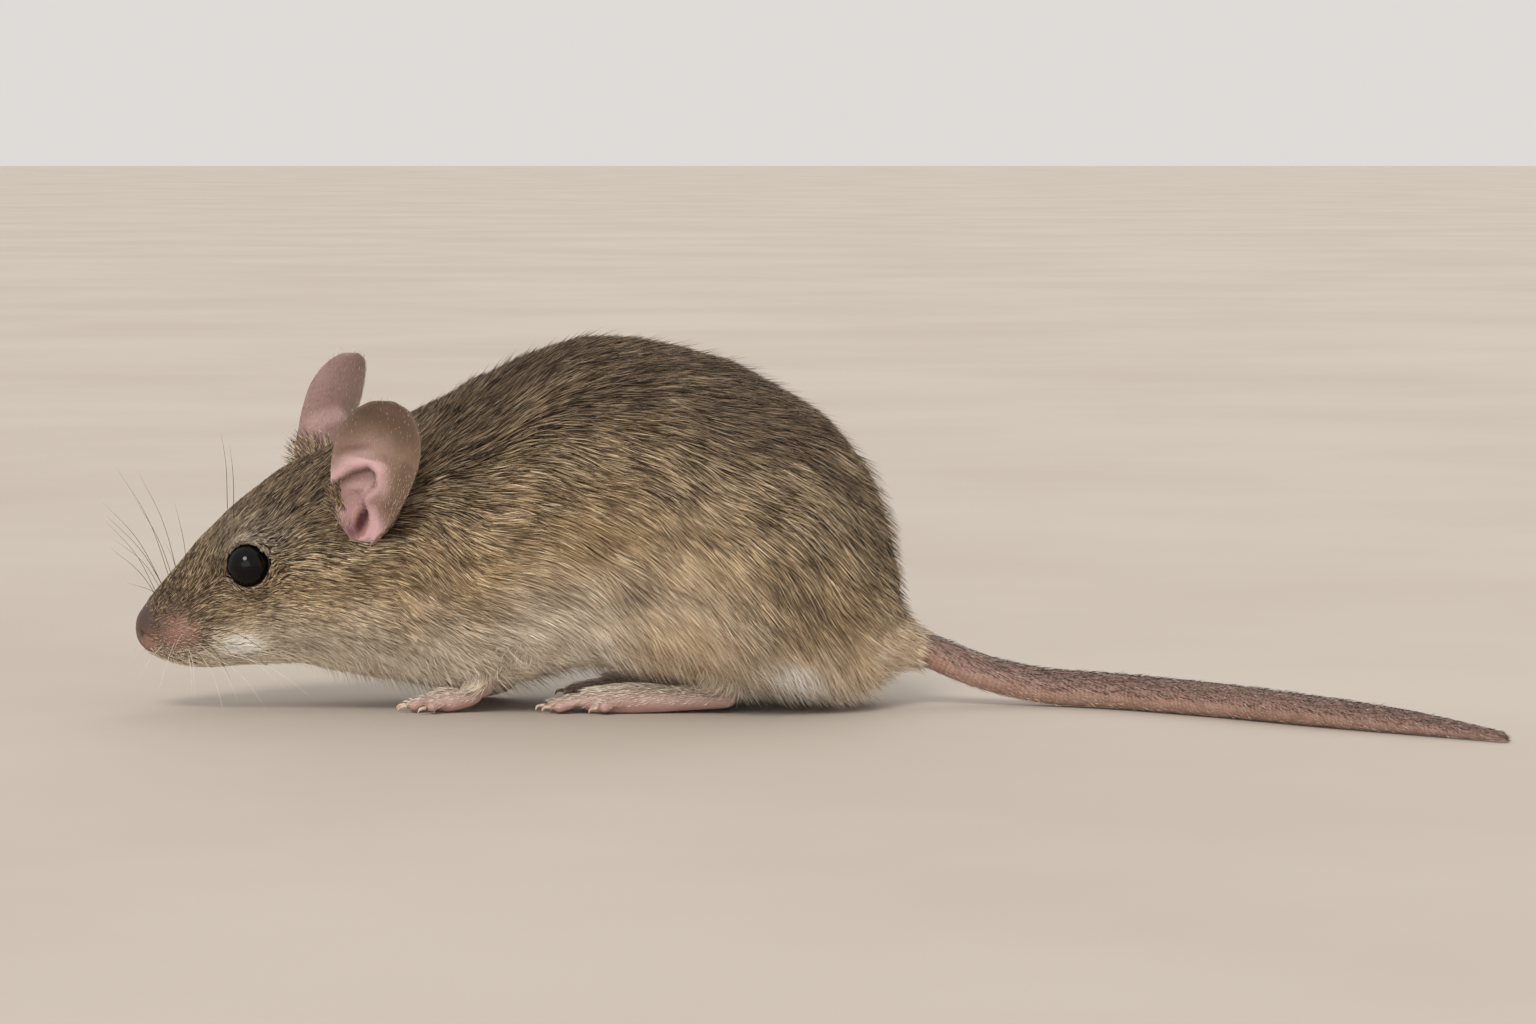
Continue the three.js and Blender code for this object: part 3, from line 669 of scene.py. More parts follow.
def ear_relief(s, h, inner):
    """How far a wall of the ear is folded forwards, at s across and h up as seen from in front."""
    d = hollow_depth(s, h)
    if not inner:
        return -0.85 * smooth(d, -1.2, 0.3) - 1.5 * spot(s, h, *PASSAGE, 0.75, 1.3)
    out = -0.85 * smooth(d, -0.12, 0.55) + 0.38 * bump((np.minimum(d, 0.3) + 0.45) ** 2, 0.5)
    for amount, across, up, reach_across, reach_up, slope in EAR_FOLDS:
        out += amount * spot(s, h - up - slope * (s - across), across, 0, reach_across, reach_up)
    return out + 0.1 * np.sin(1.1 * h + 0.6 * s) * smooth(h, 7.0, 8.5) * (1 - smooth(h, 10.5, 12.0))


def ear_roll(h, half, roll):
    """Radius of the rolled ear at height h, and how far the roll's axis stands in front of the hinge."""
    radius = half / np.sin(np.minimum(roll, np.pi / 2))
    return radius, radius * np.cos(roll / 2) - 1.3 * (h / EAR_HEIGHT) ** 2


def ear_wall(ear, rise, across, inner):
    """Points of one wall of the ear, at shares of its height and from -1 to 1 across it."""
    hinge, up, front, side = ear_frame(ear)
    h, half, roll = np.moveaxis(spline(EAR_STATIONS, rise), -1, 0)
    roll = np.radians(roll)
    radius, axis = ear_roll(h, half, roll)
    angle = roll * across
    relief = ear_relief(-ear["side"] * radius * np.sin(angle), h, inner) * (1 - np.abs(across) ** 6)
    if inner:
        thickness = EAR_THICKNESS * np.sqrt(np.maximum(1 - rise ** 14, 0.0)) + 0.02
        radius = radius - thickness * np.sqrt(np.maximum(1 - np.abs(across) ** 8, 0.0))
    depth = axis - radius * np.cos(angle) + relief
    return hinge + h[..., None] * up + (radius * np.sin(angle))[..., None] * side + depth[..., None] * front


def ear_object(ear):
    rise = 1 - (1 - np.linspace(0, 1, EAR_LEVELS)) ** 1.15
    across = np.sin(np.linspace(-np.pi / 2, np.pi / 2, EAR_ACROSS))
    rise, across = np.meshgrid(rise, across, indexing="ij")
    outer, inner = (ear_wall(ear, rise, across, wall) for wall in (False, True))
    return dressed(lofted(ear["name"], np.concatenate([outer, inner[:, ::-1]], 1)), EAR_SKIN)


def in_bowl(ear, p):
    """Whether posed points are inside the hollow of the ear."""
    hinge, up, front, side = ear_frame(ear)
    h, s, f = (p - hinge) @ up, (p - hinge) @ side, (p - hinge) @ front
    half, roll = (np.interp(h, EAR_STATIONS[:, 0], EAR_STATIONS[:, k]) for k in (1, 2))
    radius, axis = ear_roll(h, half, np.radians(roll))
    wall = axis - np.sqrt(np.maximum(radius ** 2 - s ** 2, 0)) + ear_relief(-s * ear["side"], h, False)
    return (h > 0.5) & (h < 12) & (np.abs(s) < half - 0.15) & (f > wall - 0.3) & (f < wall + 4.5)


ear_skins = [ear_object(e) for e in EARS]

# ---- legs

# Places in a foot: x along the animal, y inwards from the foot's middle, z up. A tube has its line, its radii
# and how it is made; a digit its knuckle and tip. The right foot is shifted back.
FOREFOOT = {
    "spread": 5.9, "right_shift": 2.4, "digit_radius": 0.46,
    "tubes": [
        # palm, forearm and thumb
        ([(-24.7, 0, 1.7), (-26.0, 0, 1.12), (-27.3, -0.05, 0.95), (-29.1, -0.05, 0.8)],
         [0.9, 1.05, 1.3, 1.1], {"flat": 0.74}),
        ([(-25.2, 0, 1.4), (-24.2, -0.2, 3.2), (-22.4, -0.6, 6.2), (-20.8, -1.2, 9.0)],
         [1.05, 1.3, 1.9, 2.2], {}),
        ([(-26.9, 1.0, 0.75), (-27.6, 1.45, 0.5)], [0.36, 0.3], {"sides": 12, "rows": 6}),
    ],
    "digits": [((-28.2, 0.95, 0.65), (-30.5, 1.75, 0.4)), ((-28.7, 0.35, 0.74), (-31.2, 0.55, 0.4)),
               ((-28.6, -0.4, 0.74), (-31.0, -0.7, 0.4)), ((-27.8, -1.0, 0.65), (-29.3, -2.0, 0.4))],
}
HINDFOOT = {
    "spread": 6.4, "right_shift": 1.2, "digit_radius": 0.5,
    "tubes": [
        # sole and ankle
        ([(-2.6, 0, 1.35), (-7.0, 0, 1.1), (-12.0, 0, 1.02), (-16.1, 0, 0.86)],
         [1.25, 1.22, 1.5, 1.25], {"flat": 0.8}),
        ([(-3.4, 0, 1.7), (-4.0, -0.2, 3.6), (-6.0, -0.8, 6.4), (-8.4, -1.4, 9.0)],
         [1.35, 1.5, 2.0, 2.4], {}),
    ],
    "digits": [((-11.8, 1.0, 0.78), (-14.7, 2.0, 0.44)), ((-14.9, 0.95, 0.8), (-18.3, 1.45, 0.44)),
               ((-15.3, 0.1, 0.86), (-19.1, 0.15, 0.44)), ((-15.0, -0.75, 0.8), (-18.5, -1.1, 0.44)),
               ((-12.3, -1.0, 0.78), (-14.5, -1.9, 0.44))],
}
# a digit's line between knuckle and tip: share of the knuckle, share of the tip, lift
DIGIT_LINE = [(0.55, 0.45, 0.32), (0.38, 0.62, 0.16), (0.22, 0.78, 0.12)]
DIGIT_RADII = [1.25, 1.02, 0.8, 1.0, 1.08]
SOLE_LIFT = 0.02
CLAW_RADII = np.array([0.15, 0.17, 0.16, 0.145, 0.125, 0.105, 0.08, 0.05, 0.02])


def digit(knuckle, tip, radius):
    between = [knuckle * a + tip * b + (0, 0, lift) for a, b, lift in DIGIT_LINE]
    return tube([knuckle, *between, tip], [radius * k for k in DIGIT_RADII], sides=14, rows=16)


def claw(knuckle, tip, radius):
    """A thin claw curving down from the end of a digit."""
    ahead = norm(tip - knuckle)
    end = tip + ahead
    end[2] = 0.12
    points = [tip + ahead * radius * 0.35 + (0, 0, 0.14), tip + ahead * (radius + 0.35) + (0, 0, 0.1), end]
    line = spline(points, np.linspace(0, 1, len(CLAW_RADII)))
    _, side, over = level_frame(line)
    return lofted("claw", rings_round(line, CLAW_RADII, side, over, 10, wide=0.75))


def foot_object(plan, side, claws):
    """A foot with its leg as one skin. Its claws are added to claws."""

    def at(point):
        x, y, z = point
        return np.array([x + plan["right_shift"] * (side > 0), -side * (y - plan["spread"]), z])

    parts = [tube([at(p) for p in line], radii, **how) for line, radii, how in plan["tubes"]]
    for ends in plan["digits"]:
        knuckle, tip = (at(p) for p in ends)
        parts.append(digit(knuckle, tip, plan["digit_radius"]))
        claws.append(claw(knuckle, tip, plan["digit_radius"]))
    foot = melted(join("foot", parts))
    co = coordinates(foot.data)
    co[:, 2] = np.maximum(co[:, 2], SOLE_LIFT - SOLE_LIFT * smooth(co[:, 2], -0.3, 0.0))
    set_coordinates(foot.data, co)
    return dressed(foot, FOOT_SKIN)


claw_parts = []
feet = [foot_object(plan, side, claw_parts) for side in (-1, 1) for plan in (FOREFOOT, HINDFOOT)]

# ---- tail

TAIL_ROWS, TAIL_SIDES = 480, 20
TAIL_SHARE = np.linspace(0, 1, TAIL_ROWS)
_under, TAIL_LENGTH = evenly(TAIL_LINE, TAIL_SHARE)
TAIL_AHEAD, TAIL_SIDE, TAIL_OVER = level_frame(_under)
_tip = np.clip((TAIL_SHARE - 0.985) / 0.0152, 0, 0.995)
TAIL_RADIUS = spline_values(TAIL_RADII, TAIL_SHARE) * np.sqrt(1 - _tip ** 2)
TAIL_CENTRE = _under + TAIL_RADIUS[:, None] * (0, 0, 1) + (0, 0, 0.06)
RING_PITCH, RING_DEPTH = 0.44 - 0.1 * TAIL_SHARE, 0.018
_phase = np.concatenate([[0], np.cumsum(TAIL_LENGTH / (TAIL_ROWS - 1) / RING_PITCH[1:])]) % 1.0
TAIL_GROOVE = bump((_phase - 0.5) ** 2, 0.2)


def tail_object():
    radius = TAIL_RADIUS * (1 - RING_DEPTH * TAIL_GROOVE)
    rings = rings_round(TAIL_CENTRE, radius, TAIL_SIDE, TAIL_OVER, TAIL_SIDES)
    rings[..., 2] = np.maximum(rings[..., 2], 0.0)
    return dressed(lofted("tail_skin", rings), TAIL_SKIN)


def tail_rows(points):
    """The nearest row of the tail to each point."""
    return np.array([np.argmin(((TAIL_CENTRE - v) ** 2).sum(1)) for v in points])


tail_skin = tail_object()

# ---- eyes and their lids


def eye_point(side, along, out, phi):
    """A posed point by an eye: along its axis, out from the axis, at an angle round it."""
    p = EYE + EYE_AXIS * np.asarray(along)[..., None] + round_eye(phi) * np.asarray(out)[..., None]
    return posed(p * np.array([1.0, side, 1.0]))


def lid_object(side):
    """A thin rim round the opening between the lids."""
    phi = circle(96)
    rim = lid_opening(phi)
    radius = RIM_RADIUS * (1 + 0.12 * np.sin(9 * phi))
    rings = [eye_point(side, lid_height(rim, 0.08) + radius * np.sin(a), rim + 0.03 + radius * np.cos(a), phi)
             for a in circle(12)]
    rings = np.array(rings).transpose(1, 0, 2)
    idx = np.arange(rings.shape[0] * rings.shape[1]).reshape(rings.shape[:2])
    a, b = np.roll(idx, -1, 0), np.roll(idx, -1, 1)
    quads = np.stack([idx, b, np.roll(a, -1, 1), a], -1).reshape(-1, 4)
    quads = quads[:, ::-1] if side > 0 else quads
    return dressed(new_object("lid", rings.reshape(-1, 3), quads.tolist()), LID_SKIN)


def eye_object(name, side):
    """A dark, wet ball with a slightly fuller cornea."""
    turn, phi = np.linspace(0, np.pi, 41)[1:-1], circle(64)
    bulge = EYE_RADIUS + 0.07 * bump(turn ** 2, 0.7)
    rings = [eye_point(side, np.full(64, b * np.cos(a)), np.full(64, b * np.sin(a)), phi)
             for a, b in zip(turn, bulge)]
    return dressed(lofted(name, rings), WET_EYE)


lids = [lid_object(-1), lid_object(1)]
eyes = [eye_object("wet_eye_left", -1), eye_object("wet_eye_right", 1)]

# ---- hairs


class Hairs:
    """Roots, middles and tips of hairs, with their widths and markings."""

    KEYS = ("root", "mid", "tip", "width", "chance", "pale", "dark", "warm", "u", "v")

    def __init__(self, **values):
        n = len(values["root"])
        for key in self.KEYS:
            v = values.get(key, 0.0)
            setattr(self, key, np.array(v, float) if np.ndim(v) else np.full(n, float(v)))

    def pick(self, keep):
        return Hairs(**{key: getattr(self, key)[keep] for key in self.KEYS})


def merged(parts):
    return Hairs(**{key: np.concatenate([getattr(p, key) for p in parts]) for key in Hairs.KEYS})


# a hair is a pointed sliver: its root, three points round its middle and its tip
SLIVER = np.array([[0, 2, 1], [0, 3, 2], [0, 1, 3], [4, 1, 2], [4, 2, 3], [4, 3, 1]])
SLIVER_ALONG = [0, 0.5, 0.5, 0.5, 1]
SLIVER_PATCH = np.array([[0, 1], [1, 0], [1, 1], [1, 2], [2, 1]]) * 0.0015
SHEET, SHEET_EDGE = 0.99, 0.003  # part of the map that hairs are spread over, and its margin
HAIR_CLEARANCE = 0.03  # above the floor


def spindles(name, hairs):
    """One mesh of hairs, each a closed, pointed sliver. Points are posed millimetres."""
    n = len(hairs.root)
    ahead = norm(hairs.tip - hairs.root)
    side = norm(np.cross(ahead, np.where(np.abs(ahead[:, 2:3]) > 0.9, (1.0, 0, 0), (0, 0, 1.0))))
    over = np.cross(ahead, side)
    co = np.empty((n, 5, 3))
    co[:, 0], co[:, 4] = hairs.root, hairs.tip
    spin = rng.uniform(0, 2 * np.pi, n)
    for k in range(3):
        a = spin + k * 2 * np.pi / 3
        round_middle = np.cos(a)[:, None] * side + np.sin(a)[:, None] * over
        co[:, 1 + k] = hairs.mid + (hairs.width / 2)[:, None] * round_middle
    co[..., 2] = np.maximum(co[..., 2], HAIR_CLEARANCE)
    index = (np.arange(n)[:, None, None] * 5 + SLIVER).reshape(-1)
    mesh = bpy.data.meshes.new(name)
    mesh.vertices.add(n * 5)
    mesh.vertices.foreach_set("co", to_row(co).astype(np.float32).ravel())
    mesh.loops.add(n * 18)
    mesh.loops.foreach_set("vertex_index", index.astype(np.int32))
    mesh.polygons.add(n * 6)
    mesh.polygons.foreach_set("loop_start", np.arange(0, n * 18, 3, dtype=np.int32))
    mesh.update(calc_edges=True)
    mesh.shade_flat()
    float_attribute(mesh, "along", np.tile(SLIVER_ALONG, n))
    for key in ("chance", "pale", "dark", "warm"):
        float_attribute(mesh, key, np.repeat(getattr(hairs, key), 5))
    uv = (np.stack([hairs.u, hairs.v], -1)[:, None] * SHEET + SHEET_EDGE + SLIVER_PATCH).reshape(-1, 2)[index]
    mesh.uv_layers.new(name="OFBake").data.foreach_set("uv", np.clip(uv, 0, 1).astype(np.float32).ravel())
    mesh.materials.append(COAT)
    obj = placed(name, mesh)
    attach(obj, "root")


def in_pieces(name, hairs):
    """The hairs as one or several meshes, cut from front to back."""
    order = np.argsort(hairs.u, kind="stable")
    count = int(np.ceil(len(order) / HAIRS_PER_PIECE))
    for k, part in enumerate(np.array_split(order, count)):
        piece = hairs.pick(part)
        lo, hi = piece.u.min(), piece.u.max()
        piece.u = (piece.u - lo) / max(hi - lo, 1e-6)
        spindles(f"{name}_{k + 1}", piece)


def drawn(weight):
    """Places drawn by their weight, as many as the weights add up to."""
    total = int(weight.sum())
    level = (np.arange(total) + rng.uniform(0, 1, total)) / total
    return np.minimum(np.searchsorted(np.cumsum(weight) / weight.sum(), level), weight.size - 1)


# ---- lie of the coat


def sample(field, r, s):
    """Bilinear value of a grid field at row r and side s."""
    r = np.clip(r, 0, field.shape[0] - 1.0001)
    i, j = r.astype(int), np.floor(s).astype(int)
    fr, fs = r - i, s - j
    j, j1 = j % SIDES, (j + 1) % SIDES
    if field.ndim > 2:
        fr, fs = fr[:, None], fs[:, None]
    return ((field[i, j] * (1 - fs) + field[i, j1] * fs) * (1 - fr)
            + (field[i + 1, j] * (1 - fs) + field[i + 1, j1] * fs) * fr)


def waves(p, reach, seed):
    """Smooth noise from about -1 to 1 in space, with lumps of about the given reach."""
    gen = np.random.default_rng(seed)
    out = np.zeros(p.shape[:-1])
    for k in range(10):
        d = norm(gen.normal(size=3)) * gen.uniform(0.7, 1.5) * 2 * np.pi / reach
        out += np.sin(p @ d + gen.uniform(0, 6.3))
    return out / 3.0


def round_a(flow, offset, radius):
    """The flow led round a post of the given radius standing at offset behind the point."""
    d = np.linalg.norm(offset, axis=-1, keepdims=True)
    r = offset / np.maximum(d, 1e-6)
    share = np.minimum((radius / np.maximum(d, 1e-6)) ** 2, 1.0)
    return flow - share * (2 * (flow * r).sum(-1, keepdims=True) * r - flow)


def tangent(flow):
    return norm(flow - N * (flow * N).sum(-1, keepdims=True))


EAR_ROOTS = straightened(np.array([np.add(e["hinge"], 0.8 * ear_frame(e)[1]) for e in EARS]))
EYE_POST, EAR_POST = 2.1, 1.5  # radii of the posts that the coat is led round


def lie_of_coat():
    """Directions of the coat on the grid: backwards, sinking on the flanks, round the eyes and ears."""
    sink = np.interp(HEIGHT, [0.1, 0.35, 0.6, 0.82, 0.95], [0.75, 0.75, 0.45, 0.12, 0.0])
    sink = sink * np.interp(X, [-56, -46, -40, -35, -28, -12, -2, 8, 12],
                            [0, 0.1, 0.45, 0.85, 0.85, 0.95, 1.35, 1.3, 0.5])
    flow = norm(DR) + sink[..., None] * (0, 0, -1.0)
    flow += (0.5 * spot(X, Z, -43.5, 17.5, 3, 3))[..., None] * (0, 0, 1.0)
    flow = tangent(flow)
    q = mirrored(P, Y) - EYE
    q = mirrored(q - EYE_AXIS * (q @ EYE_AXIS)[..., None], Y)
    flow = round_a(flow, np.where((EYE_H > -2)[..., None], q, 99.0), EYE_POST)
    for root in EAR_ROOTS:
        flow = round_a(flow, P - root, EAR_POST)
    return tangent(flow)


def grid_speed(v):
    """Rows and sides covered per millimetre when moving along v."""
    a, b, c = (DR * DR).sum(-1), (DR * DS).sum(-1), (DS * DS).sum(-1)
    p, q = (v * DR).sum(-1), (v * DS).sum(-1)
    det = np.maximum(a * c - b * b, 1e-6)
    return np.clip(np.stack([(c * p - b * q) / det, (a * q - b * p) / det], -1), -30, 30)


FLOW = lie_of_coat()
FLOW_SPEED, CROSS_SPEED = grid_speed(FLOW), grid_speed(np.cross(N, FLOW))
TAIL_WARD = norm(np.array([1.0, 0.0, -0.38]))


def follow(r, s, beyond, turn, distance, steps=2):
    """Moves points over the grid, and beyond its last row, along the lie of the coat turned by an angle."""
    for _ in range(steps):
        speed = np.cos(turn)[:, None] * sample(FLOW_SPEED, r, s)
        speed += np.sin(turn)[:, None] * sample(CROSS_SPEED, r, s)
        r = r + speed[:, 0] * distance / steps
        s = s + speed[:, 1] * distance / steps
        over = np.maximum(r - (len(ROWS) - 1.001), 0)
        beyond = beyond + over / np.maximum(speed[:, 0], 0.05)
        r = np.clip(r - over, 0, None)
    return r, s, beyond


def coat_point(r, s, beyond, depth):
    return sample(P, r, s) - sample(N, r, s) * depth[:, None] + TAIL_WARD * beyond[:, None]


def grid_roots(density):
    """Random rows and sides on the grid, so many to the square millimetre."""
    cell = drawn((np.linalg.norm(np.cross(DR, DS), axis=-1) * density)[:-1].ravel())
    return cell // SIDES + rng.uniform(0, 1, len(cell)), cell % SIDES + rng.uniform(0, 1, len(cell))


def length_of_coat(x, height, eye_d):
    length = np.interp(x, [-55, -52, -50, -46, -41, -35, -28, -18, 4, 8, 10.5, 12, 13.4],
                       [0.35, 0.8, 1.2, 1.7, 2.4, 3.3, 4.6, 5.4, 5.8, 5.2, 3.4, 2.1, 1.4])
    length *= 1 - 0.15 * (1 - smooth(height, 0.05, 0.3))
    return length * (0.45 + 0.55 * smooth(eye_d, 1.9, 4.4))


# patches of the coat in side view: middle x, z, reach x, z, and for the pale ones their strength
SANDY_PATCH = (-9.8, 8.6, 5.8, 6.0)
BUFF_PATCH = (9.4, 6.0, 3.4, 3.0)
HAUNCH_PATCH = (2.0, 12.5, 5.5, 6.0)
PALE_PATCHES = [
    (*BUFF_PATCH, 1.3),
    (0.8, 4.8, 5.5, 3.0, 1.8),     # side of the rump
    (-47.4, 5.9, 2.6, 1.5, 1.9),   # lip
    (-17.0, 7.0, 4.5, 4.2, 1.2),   # behind the elbow
    (-45.8, 15.4, 2.4, 1.3, 0.3),  # brow
]


def marks(p, height):
    """Pale, dark and warm shares of the coat at straight points."""
    x, z = p[..., 0], p[..., 2]
    blotch = waves(p, 7.0, 5)
    sandy, buff = spot(x, z, *SANDY_PATCH), spot(x, z, *BUFF_PATCH)
    edge = np.interp(x, [-56, -50, -44, -38, -30, -20, -8, 2, 8, 13],
                     [0.14, 0.2, 0.17, 0.2, 0.22, 0.26, 0.2, 0.14, 0.18, 0.3])
    ragged = height + 0.03 * blotch
    pale = 0.45 * (1 - smooth(ragged, edge, edge + 0.28))
    pale += 0.55 * (1 - smooth(ragged, edge - 0.14, edge + 0.1))
    pale = np.maximum(pale * (1 - 0.4 * sandy), 0.8 * sandy)
    for *place, strength in PALE_PATCHES:
        pale = np.maximum(pale, strength * spot(x, z, *place))
    dark = (1 - buff) * np.maximum.reduce([
        smooth(height + 0.04 * blotch, 0.6, 0.96) * smooth(x, -50, -30) * (1 - 0.35 * smooth(x, -2, 7)),
        0.32 * spot(x, z, *HAUNCH_PATCH),
        0.82 * smooth(height, 0.55, 0.8) * smooth(x, -52, -48) * (1 - smooth(x, -38, -33)),
        0.35 * smooth(height, 0.7, 0.95) * smooth(x, -54, -48),
    ])
    warm = np.exp(-((height - edge - 0.22) / 0.17) ** 2)
    warm *= (0.8 + 0.2 * blotch) * (0.55 + 0.45 * smooth(x, -40, -30))
    warm = np.maximum.reduce([warm, buff, sandy])
    return {"pale": np.clip(pale, 0, 1.5), "dark": np.clip(dark, 0, 1), "warm": np.clip(warm, 0, 1)}


def over_lids(p, skin_height):
    """Points of hairs rooted at skin_height along the eye's axis, carried out with the skin of the lids."""
    dist, h, phi = near_eye(p)
    rim = lid_opening(phi)
    share = (1 - smooth(dist, rim, rim + LID_SLOPE)) * (h > SOCKET_FLOOR)
    move = (share * np.maximum(lid_height(rim) - skin_height, 0))[:, None] * EYE_AXIS
    return p + mirrored(move, p[:, 1])


def clump_leads(roots):
    """For each hair the nearest of a few leading hairs, picked at random."""
    leads = rng.permutation(len(roots))[: max(int(len(roots) / HAIRS_PER_CLUMP), 1)]
    tree = kdtree.KDTree(len(leads))
    for k, m in enumerate(leads):
        tree.insert(roots[m], k)
    tree.balance()
    return leads[np.array([tree.find(v)[1] for v in roots])]


def body_hairs(density, longer=1.0, wider=1.0, lift=0.0, clump=0.55, drop=0.0, fuzz=False):
    """Hairs of head and trunk, lying along the coat and leaning together in small clumps."""
    r, s = grid_roots(density)
    p, eye_d = sample(P, r, s), sample(EYE_D, r, s)
    bare = 1.25 * spot(p[:, 0], p[:, 2], -51.8, 6.9, 2.3, 2.4)
    bare = np.maximum(bare, 1.15 * (1 - smooth(p[:, 0], -54.9, -53.1)))
    keep = (eye_d > 1.87) | (sample(EYE_H, r, s) < -1)
    keep &= rng.uniform(0, 1, len(r)) > bare * (not fuzz)
    r, s, p, eye_d = r[keep], s[keep], p[keep], eye_d[keep]
    n, x, height, deep = len(r), p[:, 0], sample(HEIGHT, r, s), sample(DEPTH, r, s)
    length = length_of_coat(x, height, eye_d) * longer * rng.uniform(0.72, 1.12, n)
    turn = 0.16 * waves(p, 9.0, 3) + 0.09 * waves(p, 3.5, 4) + rng.normal(0, 0.08, n)
    raised = 0.18 * waves(p, 4.0, 8) * np.minimum(deep, 1.2)
    zero = np.zeros(n)
    r1, s1, b1 = follow(r, s, zero, turn, length * 0.45)
    r2, s2, b2 = follow(r1, s1, b1, turn, length * 0.55)
    root = coat_point(r, s, zero, deep * 1.02)
    mid = coat_point(r1, s1, b1, deep * rng.uniform(0.3, 0.55, n) + raised)
    hang = 0.12 * (1 - smooth(height, 0.15, 0.35)) * smooth(x, -44, -36)
    stand = lift * (1 + 0.8 * smooth(x, 2, 9))
    sunk = rng.uniform(0.0, 0.3, n) ** 1.3 - 0.02 - stand - hang
    tip = coat_point(r2, s2, b2, deep * sunk + raised * 0.7)
    tip[:, 2] -= drop * rng.uniform(0.3, 1.0, n)
    lead = clump_leads(root)
    flow = norm(tip[lead] - root[lead])
    offset = ((root - root[lead]) * flow).sum(1, keepdims=True) * flow
    pull = (clump * rng.uniform(0.4, 1.1, n) * smooth(x, -54, -42))[:, None]
    tip += pull * (tip[lead] + offset - tip)
    mid += 0.45 * pull * (mid[lead] + offset - mid)
    level = near_eye(root)[1]
    root, mid, tip = (posed(over_lids(v, level)) for v in (root, mid, tip))
    chance = 0.84 * rng.uniform(0, 1, n) + 0.16 * rng.uniform(0, 1, n)[lead] + 0.04 * waves(p, 3.0, 9)
    chance = np.clip(chance, 0, 1) * (0.74 + 0.26 * smooth(x, -53, -48))
    width = np.interp(x, [-55, -50, -44, -36, -28], [0.05, 0.066, 0.09, 0.122, 0.146]) * wider
    hairs = Hairs(root=root, mid=mid, tip=tip, width=width * rng.uniform(0.75, 1.25, n), chance=chance,
                  **marks(p, height), u=r / (len(ROWS) - 1), v=(s % SIDES) / SIDES)
    inside = [in_bowl(ear, place) for ear in EARS for place in (root, mid, tip)]
    return hairs.pick(~np.any(inside, axis=0))


# hairs to the square millimetre of the grid
coat = np.interp(X, [-55, -50, -44, -36, -28, 12], [70, 76, 68, 50, 36, 36])
coat *= np.where(HEIGHT < 0.12, 0.55, 1.0)
coat *= 1 + 0.9 * bump(np.maximum(EYE_D - 1.8, 0) ** 2, 0.8) * (EYE_H > -1)
for root in EAR_ROOTS:
    coat *= 1 + 0.8 * bump(((P - root + (2.4, 0, 0)) ** 2).sum(-1), 2.2)
guard = 1.3 * smooth(HEIGHT, 0.5, 0.85) * smooth(X, -44, -30) + 1.2 * smooth(X, 2, 9) + 1.0 * (HEIGHT < 0.3)
fringe = 3.2 * smooth(X, -43, -38) * (1 - smooth(X, 7, 10)) * (HEIGHT < 0.2)
pad = 30.0 * np.exp(-((X + 51.8) / 2.2) ** 4 - ((Z - 6.9) / 2.6) ** 4)
in_pieces("coat", body_hairs(coat * THIN))
in_pieces("guard_hair", body_hairs(guard * THIN, longer=1.2, wider=0.55, lift=0.3, clump=0.25))
in_pieces("fringe", body_hairs(fringe * THIN, longer=0.75, wider=0.5, lift=0.25, clump=0.3, drop=1.1))
muzzle = body_hairs(pad * THIN, longer=0.6, wider=0.75, lift=0.6, clump=0.1, fuzz=True)
muzzle.pale = np.maximum(muzzle.pale, 0.45)
in_pieces("muzzle_hair", muzzle)

# ---- down on ears, feet and tail


def points_on(obj, density):
    """Random points on a mesh and their normals, at a density by the place and normal of each triangle."""
    mesh = obj.data
    mesh.calc_loop_triangles()
    tri = np.empty(len(mesh.loop_triangles) * 3, np.int32)
    mesh.loop_triangles.foreach_get("vertices", tri)
    corner = coordinates(mesh)[tri.reshape(-1, 3)]
    face = np.cross(corner[:, 1] - corner[:, 0], corner[:, 2] - corner[:, 0])
    pick = drawn(np.linalg.norm(face, axis=1) / 2 * density(corner.mean(1), norm(face)) * THIN)
    a, b = rng.uniform(0, 1, (2, len(pick), 1))
    a, b = np.where(a + b > 1, 1 - a, a), np.where(a + b > 1, 1 - b, b)
    c = corner[pick]
    return c[:, 0] + a * (c[:, 1] - c[:, 0]) + b * (c[:, 2] - c[:, 0]), norm(face[pick])


def down(points, normals, flow, length, width, lift, u, v, **values):
    """Short hairs from points on a mesh, lying along flow and raised by lift. u, v: place on the map."""
    n = len(points)
    flow = flow + rng.normal(0, 0.16, (n, 3))
    flow = norm(flow - normals * (flow * normals).sum(1, keepdims=True))
    length = (length * rng.uniform(0.6, 1.2, n))[:, None]
    mid = points + flow * length * 0.5 + normals * (0.45 * lift * length)
    tip = points + flow * length + normals * (0.6 * lift * length)
    u, v = (np.clip(value, 0, 1) * 0.96 for value in (u, v))
    return Hairs(root=points - normals * 0.03, mid=mid, tip=tip, width=width * rng.uniform(0.8, 1.2, n),
                 chance=rng.uniform(0, 1, n), u=u, v=v, **values)


